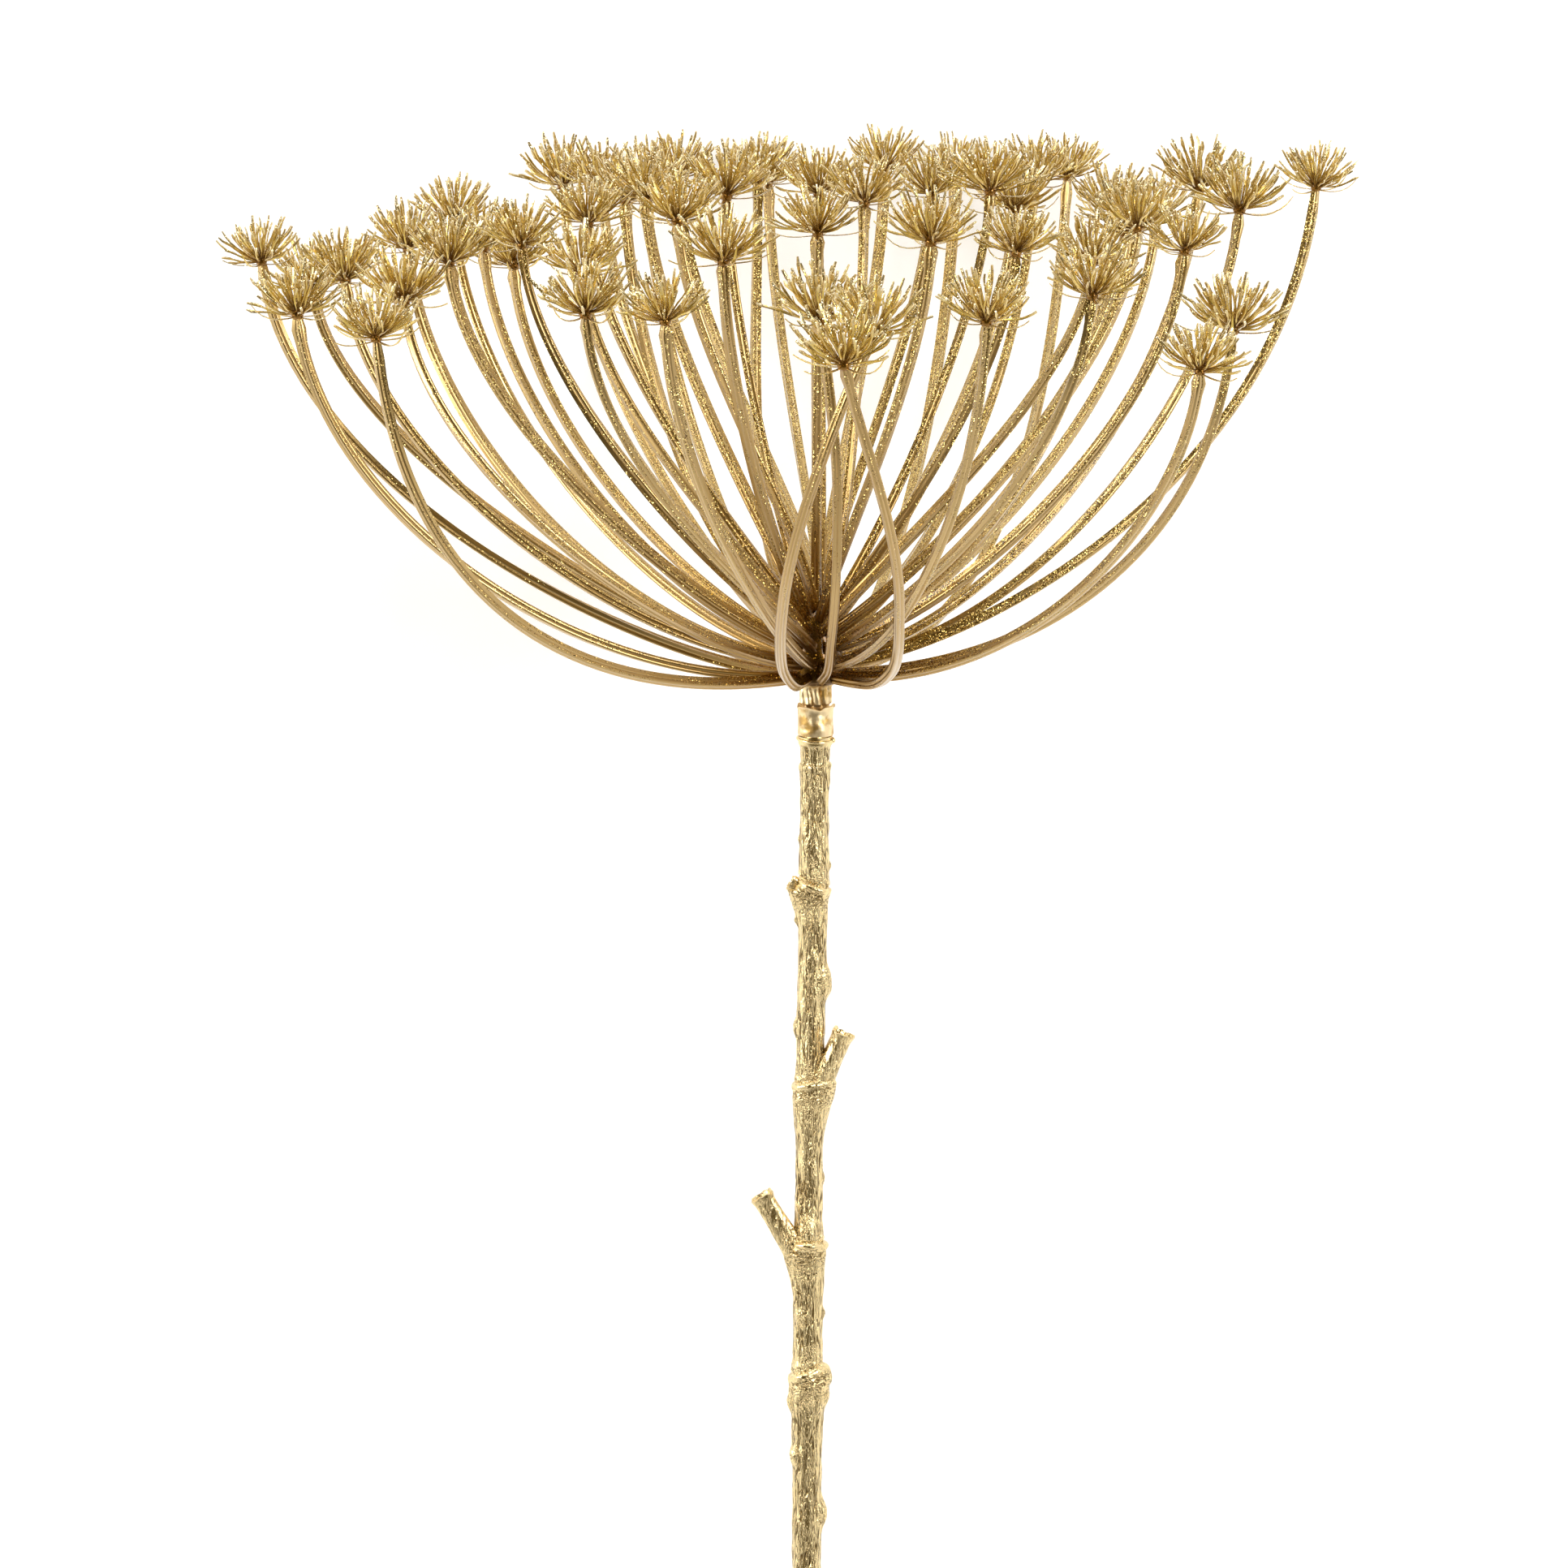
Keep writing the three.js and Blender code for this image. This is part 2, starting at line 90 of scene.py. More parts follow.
def linear(hex_colour: str) -> tuple[float, float, float, float]:
    """An sRGB hex colour as the linear colour that Blender's nodes take.

    Args:
        hex_colour: Six hex digits, such as "d9b45f".

    Returns:
        Red, green, blue and an alpha of 1.
    """
    parts = [int(hex_colour[i : i + 2], 16) / 255 for i in (0, 2, 4)]
    r, g, b = [c / 12.92 if c <= 0.04045 else ((c + 0.055) / 1.055) ** 2.4 for c in parts]
    return (r, g, b, 1.0)


def per_metre(pitch_mm: float) -> float:
    """A texture's scale, in repeats to the metre, from its pitch."""
    return 1 / (pitch_mm * MM)


def lerp(a: float, b: float, share: float) -> float:
    """The value between a and b at a share of the way."""
    return a + (b - a) * share


def bell(x: float, width: float) -> float:
    """A smooth bump: 1 at x 0, and next to nothing past twice the width."""
    return math.exp(-((x / width) ** 2))


def last_part(share: float, parts: int) -> float:
    """0 up to the last of some equal parts of the way, and rising to 1 at its end."""
    return max(0.0, share * parts - (parts - 1))


def direction(bearing: float, rise: float) -> Vector:
    """The direction with a bearing about Z and a rise above the level, in radians."""
    flat = math.cos(rise)
    return Vector((math.cos(bearing) * flat, math.sin(bearing) * flat, math.sin(rise)))


def bearing_of(spot: Vector) -> float:
    """A spot's bearing about Z, in radians."""
    return math.atan2(spot.y, spot.x)


def scaled(spot: Vector, scale: Triple, shift: Triple = (0, 0, 0)) -> Vector:
    """A spot scaled along each axis and then shifted, to read a noise at."""
    return Vector([a * s + b for a, s, b in zip(spot, scale, shift)])


def along(pairs: list[Pair], x: float) -> float:
    """The value at x in a list of pairs whose x goes down, straight between them.

    Args:
        pairs: x and value.
        x: Where to read it.

    Returns:
        The value, held level past both ends.
    """
    if x >= pairs[0][0]:
        return pairs[0][1]
    for (x0, v0), (x1, v1) in zip(pairs, pairs[1:]):
        if x >= x1:
            return lerp(v0, v1, (x - x0) / (x1 - x0))
    return pairs[-1][1]


def seeded(seed: int) -> Iterator[float]:
    """The part's own random draw between 0 and 1, so that heads tilt as its solids do.

    Args:
        seed: The draw's start.

    Yields:
        The next draw.
    """
    mask = 0xFFFFFFFF
    state = seed & mask
    while True:
        state = (state + 0x6D2B79F5) & mask
        t = state
        t = ((t ^ (t >> 15)) * (t | 1)) & mask
        t ^= (t + (((t ^ (t >> 7)) * (t | 61)) & mask)) & mask
        yield ((t ^ (t >> 14)) & mask) / (mask + 1)


# ------------------------------------------------------------------ paths


def bezier(a: Vector, b: Vector, c: Vector, d: Vector, t: float) -> Vector:
    """The point of a cubic Bezier curve at a share of its way."""
    s = 1 - t
    return a * s**3 + b * 3 * s * s * t + c * 3 * s * t * t + d * t**3


def catmull_rom(points: list[Vector], shares: list[float]) -> list[Vector]:
    """Points of a centripetal Catmull-Rom curve.

    Args:
        points: What it passes through.
        shares: Where to read it, as shares of its count of spans.

    Returns:
        A point for each share.
    """
    ends = [points[0] * 2 - points[1], *points, points[-1] * 2 - points[-2]]
    spans = len(points) - 1
    made = []
    for share in shares:
        span = min(int(share * spans), spans - 1)
        t = share * spans - span
        p0, p1, p2, p3 = ends[span : span + 4]
        d0, d1, d2 = [math.sqrt((b - a).length) for a, b in ((p0, p1), (p1, p2), (p2, p3))]
        m1 = ((p1 - p0) / d0 - (p2 - p0) / (d0 + d1) + (p2 - p1) / d1) * d1
        m2 = ((p2 - p1) / d1 - (p3 - p1) / (d1 + d2) + (p3 - p2) / d2) * d1
        c2 = (p2 - p1) * 3 - m1 * 2 - m2
        c3 = (p1 - p2) * 2 + m1 + m2
        made.append(p1 + m1 * t + c2 * t * t + c3 * t**3)
    return made


def path_frames(points: list[Vector], first_side: Vector) -> list[tuple[Vector, Vector, Vector]]:
    """A frame at each point of a path, carried along it without twist.

    Args:
        points: The path.
        first_side: Roughly the side direction at its start.

    Returns:
        Side, second side and course for each point.
    """
    frames = []
    side = first_side
    for i in range(len(points)):
        before, after = points[max(i - 1, 0)], points[min(i + 1, len(points) - 1)]
        course = (after - before).normalized()
        side = (side - course * side.dot(course)).normalized()
        frames.append((side, course.cross(side), course))
    return frames


# ------------------------------------------------------------------ shapes


def tube(sides: int, rings: int) -> bmesh.types.BMesh:
    """A closed unit tube of even rings, whose vertices are then moved into place.

    Args:
        sides: Faces round it.
        rings: Bands of faces along it.

    Returns:
        The bmesh, from z 0 to 1 with radius 1.
    """
    bm = bmesh.new()
    bmesh.ops.create_cone(
        bm, cap_ends=True, cap_tris=False, segments=sides, radius1=1, radius2=1, depth=1
    )
    bmesh.ops.translate(bm, vec=UP / 2, verts=bm.verts)
    upright = [e for e in bm.edges if abs(e.verts[0].co.z - e.verts[1].co.z) > 0.5]
    if rings > 1:
        bmesh.ops.subdivide_edges(bm, edges=upright, cuts=rings - 1, use_grid_fill=True)
    return bm


def lathe(section: list[Pair], sides: int, closed: bool) -> bmesh.types.BMesh:
    """A section turned once about Z, with its seam and poles closed.

    Args:
        section: Radius and height of each of its points.
        sides: Faces round the shape.
        closed: Whether the section's last point joins its first.

    Returns:
        The bmesh, with its faces pointing outwards.
    """
    bm = bmesh.new()
    line = [bm.verts.new((radius, 0, height)) for radius, height in section]
    nexts = line[1:] + line[:1] if closed else line[1:]
    edges = [bm.edges.new(pair) for pair in zip(line, nexts)]
    bmesh.ops.spin(
        bm, geom=line + edges, axis=UP, cent=(0, 0, 0), angle=math.tau, steps=sides, use_merge=True
    )
    bmesh.ops.remove_doubles(bm, verts=bm.verts, dist=1e-4)
    bmesh.ops.recalc_face_normals(bm, faces=bm.faces)
    return bm


def join(bm: bmesh.types.BMesh, other: bmesh.types.BMesh) -> None:
    """Adds one shape to another.

    Args:
        bm: What is added to.
        other: What is added. It is freed.
    """
    mesh = bpy.data.meshes.new("part")
    other.to_mesh(mesh)
    other.free()
    bm.from_mesh(mesh)
    bpy.data.meshes.remove(mesh)


def spread(bm: bmesh.types.BMesh, name: str, value: float) -> None:
    """Gives every vertex the same value of an attribute that the finishes read.

    Args:
        bm: The shape.
        name: The attribute, which is new to it.
        value: The value.
    """
    layer = bm.verts.layers.float.new(name)
    for vertex in bm.verts:
        vertex[layer] = value


# ------------------------------------------------------------------ how it lies


@dataclass(frozen=True)
class Lie:
    """Where the flower lies: the same tilt and roll as its solids, on its hub's foot."""

    tilt_deg: float = 10.5
    roll_deg: float = 0.5
    foot_from_hub_box: Triple = (6.8376, 10.7107, 6.8825)

    def foot(self) -> Vector:
        """The hub's foot in the row's frame, in metres."""
        low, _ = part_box("hub")
        return low + Vector(self.foot_from_hub_box) * MM

    def matrix(self) -> Matrix:
        """The turn, scale and shift from the flower's millimetres to the row's metres.

        Returns:
            The matrix.
        """
        fall = Matrix.Rotation(math.radians(self.tilt_deg - 90), 4, "X")
        roll = Matrix.Rotation(math.radians(self.roll_deg), 4, "Y")
        return Matrix.Translation(self.foot()) @ roll @ fall @ Matrix.Scale(MM, 4)

    def turn(self) -> Matrix:
        """The turn alone, from the flower's axes to the row's."""
        return self.matrix().to_3x3().normalized()


# ------------------------------------------------------------------ finishes


class Nodes:
    """The node tree of a material or a world, with one small way to add to it."""

    def __init__(self, owner: bpy.types.Material | bpy.types.World) -> None:
        """Empties the owner's tree, to be filled with add.

        Args:
            owner: The material or world.
        """
        owner.use_nodes = True
        self.tree = owner.node_tree
        self.tree.nodes.clear()

    def add(self, kind: str, links: dict | None = None, **settings: object) -> bpy.types.Node:
        """Adds a node.

        Args:
            kind: Blender's name for it, without ShaderNode.
            links: Input name or number to a value, or to what feeds it: a socket, or a node
                that stands for the first of its outputs in use.
            **settings: The node's own properties.

        Returns:
            The node.
        """
        node = self.tree.nodes.new("ShaderNode" + kind)
        for name, value in settings.items():
            setattr(node, name, value)
        for name, value in (links or {}).items():
            if isinstance(value, bpy.types.Node):
                value = next(socket for socket in value.outputs if socket.enabled)
            if isinstance(value, bpy.types.NodeSocket):
                self.tree.links.new(value, node.inputs[name])
            else:
                node.inputs[name].default_value = value
        return node


@dataclass(frozen=True)
class BarkGold:
    """Plastic moulded from a real twig and gilded with a bright foil-like lacquer.

    It gives the eye a cream-gold mirror that is broken by thin dark creases, whose bottoms are
    painted darker as shade. The creases run up the stem, and curl round the nodes, where the
    mesh's knot attribute is 1. There are none where its smooth attribute is 1.
    """

    face: str = "f2daa4"
    # the painted shade that fills the creases' bottoms
    crease: str = "654809"
    roughness: float = 0.24
    pitch_mm: float = 1.0
    on_stem: Triple = (1.0, 1.0, 0.12)  # creases in a pitch, round the stem and up it
    at_node: Triple = (0.5, 0.5, 0.8)
    fine: Triple = (2.6, 2.6, 1.0)  # fine lines between the creases
    wavy: float = 0.6
    half_width: float = 0.07  # of a crease, in the noise that draws it
    fine_height: float = 0.7  # against the creases' depth
    depth_mm: float = 0.3
    left_where_smooth: float = 0.05  # share of the relief
    crease_shade: float = 0.95  # how far a crease's bottom is painted with the crease colour, as shade
    crease_shade_to: float = 0.7  # the height at which none of it is left

    def build(self, lie: Lie) -> bpy.types.Material:
        """Makes the material, with its grain turned to run up the stem.

        Args:
            lie: How the flower lies.

        Returns:
            The material.
        """
        made = bpy.data.materials.new("bark_gold")
        n = Nodes(made)
        knot, smooth = [
            n.add("Attribute", attribute_name=name).outputs["Fac"] for name in ("knot", "smooth")
        ]
        spot = n.add("TexCoord").outputs["Object"]
        turn = tuple(lie.turn().inverted().to_euler())
        grain = n.add("Mapping", {"Vector": spot, "Rotation": turn})
        size = per_metre(self.pitch_mm)
        on_stem, at_node, fine = [
            n.add("Mapping", {"Vector": grain, "Scale": tuple(size * s for s in scales)})
            for scales in (self.on_stem, self.at_node, self.fine)
        ]
        heights = []
        for laid in (on_stem, at_node):
            waves = {"Vector": laid, "Scale": 1.0, "Detail": 2.5, "Distortion": self.wavy}
            off = n.add("Math", {0: n.add("TexNoise", waves), 1: 0.5}, operation="SUBTRACT")
            near = n.add("Math", {0: off}, operation="ABSOLUTE")
            span = {"Value": near, "From Min": 0.0, "From Max": self.half_width}
            heights.append(n.add("MapRange", span, interpolation_type="SMOOTHSTEP"))
        creased = n.add("Mix", {"Factor": knot, 2: heights[0], 3: heights[1]}, data_type="FLOAT")
        lines = n.add("TexNoise", {"Vector": fine, "Scale": 1.0, "Detail": 3.0})
        height = n.add(
            "Math", {0: lines, 1: self.fine_height, 2: creased}, operation="MULTIPLY_ADD"
        )
        strength = {"Value": smooth, "To Min": 1.0, "To Max": self.left_where_smooth}
        relief = {"Height": height, "Distance": self.depth_mm * MM}
        bump = n.add("Bump", relief | {"Strength": n.add("MapRange", strength)})
        # Painted shade: the bottoms of the creases take the crease colour, and none of it where
        # smooth.
        deepest = n.add("MapRange", {"Value": smooth, "To Min": self.crease_shade, "To Max": 0.0})
        span = {"Value": creased, "From Min": 0.0, "From Max": self.crease_shade_to}
        crease_shade = n.add("MapRange", span | {"To Min": deepest, "To Max": 0.0})
        tones = {6: linear(self.face), 7: linear(self.crease)}
        shader = n.add(
            "BsdfPrincipled",
            {
                "Base Color": n.add("Mix", {"Factor": crease_shade} | tones, data_type="RGBA"),
                "Metallic": 1.0,
                "Roughness": self.roughness,
                "Normal": bump,
            },
        )
        n.add("OutputMaterial", {"Surface": shader})
        return made


@dataclass(frozen=True)
class SleeveGold:
    """Shrunk plastic sleeve under the same lacquer.

    It gives the eye smooth bright bands, slightly dented, with a fine orange-peel, and deeper
    gold where the lacquer is thin.
    """

    face: str = "f6deaf"
    thin: str = "b98f3f"
    roughness: float = 0.42
    dents: Triple = (3.2, 1.0, 1.2)  # pitch, detail and depth, in millimetres
    peel: Triple = (0.6, 3.0, 0.07)  # the same, of the orange-peel
    strength: float = 0.6
    thin_mm: float = 5.0
    thin_between: Pair = (0.5, 0.6)  # in its noise
    thinnest: float = 0.85

    def build(self) -> bpy.types.Material:
        """Makes the material.

        Returns:
            The material.
        """
        made = bpy.data.materials.new("sleeve_gold")
        n = Nodes(made)
        spot = n.add("TexCoord").outputs["Object"]
        under: dict = {}
        for pitch, detail, depth in (self.dents, self.peel):
            waves = {"Vector": spot, "Scale": per_metre(pitch), "Detail": detail}
            relief = {"Height": n.add("TexNoise", waves), "Distance": depth * MM}
            under = {"Normal": n.add("Bump", relief | {"Strength": self.strength} | under)}
        cloud = n.add("TexNoise", {"Vector": spot, "Scale": per_metre(self.thin_mm), "Detail": 5.0})
        start, end = self.thin_between
        span = {"Value": cloud, "From Min": start, "From Max": end, "To Max": self.thinnest}
        tones = {6: linear(self.face), 7: linear(self.thin)}
        thinned = n.add("Mix", {"Factor": n.add("MapRange", span)} | tones, data_type="RGBA")
        metal = {"Base Color": thinned, "Metallic": 1.0, "Roughness": self.roughness}
        n.add("OutputMaterial", {"Surface": n.add("BsdfPrincipled", metal | under)})
        return made


@dataclass(frozen=True)
class GlitterGold:
    """Satin gold paint on moulded plastic, sprinkled with gold glitter over wet lacquer.

    It gives the eye a satin sheen beside a sandy sparkle. Each flake is a small mirror with its
    own tilt, and its colour is also painted between a glint and a dark reflection, so it is either
    bright or dark. The glitter lies thick on some faces of a ray and thin on the others, by
    patches that the mesh's grain attribute lays along the ray, and more of it on what faces up
    the stem. It misses where the bare attribute is 1. The paint is mixed towards a painted shade
    where the shade attribute is 1, near the hub and in the middle of each head, where the rays
    and filaments crowd in on one another. It is cream where the pale attribute is 1, at the
    filaments' tips. Real flakes are about 0.1 mm across, too fine to show, so they are drawn at
    flake_mm.
    """

    name: str
    paint: str = "c0a269"
    # a painted glint and a painted dark reflection, between which each flake's colour is drawn
    flake_glint: str = "f3d98c"
    flake_dark_reflection: str = "704a0a"
    # the painted shade, which the shade attribute mixes in
    shade: str = "906604"
    tip: str = "f4e4ba"
    paint_roughness: float = 0.3
    flake_roughness: float = 0.16
    flake_mm: float = 0.2
    flake_tilt: float = 1.1
    cover_thick: float = 0.82  # share of the cells that hold a flake, in a patch of glitter
    cover_thin: float = 0.05
    patches: float = 1.1  # in one unit of the grain attribute
    patch_from: float = 0.41
    patch_to: float = 0.53
    upward: float = 0.16  # how much more falls on what faces up the stem
    streak_pitch: float = 0.8  # of the fine drawn lines, in the grain attribute
    streak_depth_mm: float = 0.018
    metallic: float = 1.0
    coat: float = 0.6
    coat_roughness: float = 0.1

    def build(self, lie: Lie) -> bpy.types.Material:
        """Makes the material.

        Args:
            lie: How the flower lies, which says where up the stem is.

        Returns:
            The material.
        """
        made = bpy.data.materials.new(self.name)
        n = Nodes(made)
        bare, shade, pale = [
            n.add("Attribute", attribute_name=name).outputs["Fac"]
            for name in ("bare", "shade", "pale")
        ]
        grain = n.add("Attribute", attribute_name="grain").outputs["Vector"]
        spot = n.add("TexCoord").outputs["Object"]
        sizes = {"Scale": per_metre(self.flake_mm), "Randomness": 1.0}
        cells = n.add("TexVoronoi", {"Vector": spot} | sizes).outputs["Color"]
        drawn_1, drawn_2, _ = n.add("SeparateColor", {0: cells}).outputs

        streak = {"Vector": grain, "Scale": 1 / self.streak_pitch, "Detail": 2.0}
        relief = {"Height": n.add("TexNoise", streak), "Distance": self.streak_depth_mm * MM}
        streaks = n.add("Bump", relief | {"Strength": 1.0})

        facing = n.add("NewGeometry").outputs["Normal"]
        up = tuple(lie.turn() @ UP)
        above = n.add("VectorMath", {0: facing, 1: up}, operation="DOT_PRODUCT")
        patch = n.add("TexNoise", {"Vector": grain, "Scale": self.patches, "Detail": 1.0})
        fallen = n.add("Math", {0: above, 1: self.upward, 2: patch}, operation="MULTIPLY_ADD")
        span = {"Value": fallen, "From Min": self.patch_from, "From Max": self.patch_to}
        share = {"To Min": self.cover_thin, "To Max": self.cover_thick}
        cover = n.add("MapRange", span | share)
        held = n.add("Math", {0: cover, 1: bare}, operation="SUBTRACT")
        flake = n.add("Math", {0: drawn_1, 1: held}, operation="LESS_THAN")

        tilt = n.add("VectorMath", {0: cells, 1: (0.5, 0.5, 0.5)}, operation="SUBTRACT")
        lean = n.add("Math", {0: flake, 1: self.flake_tilt}, operation="MULTIPLY")
        tilted = n.add("VectorMath", {0: tilt, "Scale": lean}, operation="SCALE")
        turned = n.add("VectorMath", {0: streaks, 1: tilted}, operation="ADD")
        normal = n.add("VectorMath", {0: turned}, operation="NORMALIZE")

        # Each flake's colour is drawn between a painted dark reflection and a painted glint.
        mirror = {6: linear(self.flake_dark_reflection), 7: linear(self.flake_glint)}
        colour = n.add("Mix", {"Factor": drawn_2} | mirror, data_type="RGBA")
        colour = n.add(
            "Mix", {"Factor": flake, 6: linear(self.paint), 7: colour}, data_type="RGBA"
        )
        # Mixes in the painted shade, then the cream of the filaments' tips.
        for factor, tone in ((shade, self.shade), (pale, self.tip)):
            tones = {6: colour, 7: linear(tone)}
            colour = n.add("Mix", {"Factor": factor} | tones, data_type="RGBA")
        roughness = {"To Min": self.paint_roughness, "To Max": self.flake_roughness}
        shader = n.add(
            "BsdfPrincipled",
            {
                "Base Color": colour,
                "Metallic": self.metallic,
                "Roughness": n.add("MapRange", {"Value": flake} | roughness),
                "Normal": normal,
                "Coat Weight": self.coat,
                "Coat Roughness": self.coat_roughness,
                "Coat Normal": streaks,
            },
        )
        n.add("OutputMaterial", {"Surface": shader})
        return made


# ------------------------------------------------------------------ making a piece


class Slot(Enum):
    """The record's material slots."""

    BARK = "bark_gold"
    SLEEVE = "sleeve_gold"
    HUB = "hub_gold"
    GLITTER = "glitter_gold"


@dataclass
class Bench:
    """Turns a bmesh in the flower's frame into a finished piece that rides on the part."""

    lie: Lie
    low: Vector  # corners of the solids' box, in metres
    high: Vector
    floor_gap: float = 0.02  # what would lie lower is bent flat on the floor
    sharp_deg: float = 50  # edges bent more than this stay crisp
    matrix: Matrix = field(init=False)

    def __post_init__(self) -> None:
        """Works the lie's matrix out once."""
        self.matrix = self.lie.matrix()

    def piece(
        self,
        bm: bmesh.types.BMesh,
        name: str,
        materials: list[bpy.types.Material],
        slot: Slot,
        nodes: list[str],
    ) -> bpy.types.Object:
        """Lays a shape down, dresses it and hides the solids that it stands for.

        Args:
            bm: The shape, in millimetres in the flower's frame. It is freed.
            name: The piece's name.
            materials: Its finishes, by the number that its faces hold.
            slot: The record's material slot, which is not used.
            nodes: The solids that it stands for.

        Returns:
            The object, at the origin.
        """
        bmesh.ops.transform(bm, matrix=self.matrix, verts=bm.verts)
        for vertex in bm.verts:
            vertex.co.z = max(vertex.co.z, self.floor_gap * MM)
        for face in bm.faces:
            face.smooth = True
        mesh = bpy.data.meshes.new(name)
        bm.to_mesh(mesh)
        bm.free()
        mesh.set_sharp_from_angle(angle=math.radians(self.sharp_deg))
        for material in materials:
            mesh.materials.append(material)
        made = bpy.data.objects.new(name, mesh)
        bpy.context.scene.collection.objects.link(made)
        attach(made, BODY)
        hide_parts(*nodes)
        return made


# ------------------------------------------------------------------ twig


@dataclass(frozen=True)
class Shoot:
    """A cut-off side shoot of the twig, with a swollen root and a hollowed, torn cut."""

    height: float
    bearing_deg: float
    lean_deg: float
    length: float
    root: float  # radii at its root and its tip
    tip: float
    shoulder: float  # how far the stem swells into it
    sides: int = 40
    ring_step: float = 0.6
    least_rings: int = 12
    taper: float = 1.4  # it is down to its tip's radius at 1 / taper of its length
    flare: Pair = (0.4, 1.2)  # how far the cut flares, and over what length
    lobes: int = 3
    lobe: float = 0.22
    bark_scale: float = 1.6
    bark_knot: float = 0.1
    knotted: Pair = (0.75, 0.4)  # at its root, and over what share of it
    smooth: float = 0.3
    smoother_at_cut: float = 0.5
    smoother_parts: int = 6  # it gets smoother in the last of so many parts
    torn: float = 0.7
    torn_scale: float = 2.3
    torn_parts: int = 8
    cut: tuple[Pair, ...] = ((0.4, 0.05), (0.4, -0.9), (0.9, -0.25))  # each inset and its depth


@dataclass(frozen=True)
class Bead:
    """The thin wire-like ring under the ferrule, a little askew, with its small knob."""

    height: float = -15.3
    radius: float = 4.42
    girth: float = 0.42
    askew: float = 0.3
    askew_at: float = 2.4  # the bearing of its highest point, in radians
    sides: int = 10
    steps: int = 64
    knob: Triple = (4.15, -1.5, -15.4)
    knob_radius: float = 0.78

    def build(self, centre: Vector) -> bmesh.types.BMesh:
        """Makes the bead round the twig.

        Args:
            centre: The twig's centre at the bead's height.

        Returns:
            Its bmesh.
        """
        bm = tube(self.sides, self.steps)
        for vertex in bm.verts:
            turn = vertex.co.z * math.tau
            out = direction(turn, 0)
            angle = bearing_of(vertex.co)
            askew = UP * self.askew * math.cos(turn - self.askew_at)
            ring = centre + out * self.radius + askew
            vertex.co = ring + (out * math.cos(angle) + UP * math.sin(angle)) * self.girth
        caps = [f for f in bm.faces if len(f.verts) > 4]
        bmesh.ops.delete(bm, geom=caps, context="FACES_ONLY")
        bmesh.ops.remove_doubles(bm, verts=bm.verts, dist=1e-3)
        bmesh.ops.recalc_face_normals(bm, faces=bm.faces)
        knob = bmesh.new()
        bmesh.ops.create_uvsphere(knob, u_segments=16, v_segments=10, radius=self.knob_radius)
        bmesh.ops.translate(knob, vec=Vector(self.knob), verts=knob.verts)
        join(bm, knob)
        spread(bm, "smooth", 1.0)
        return bm


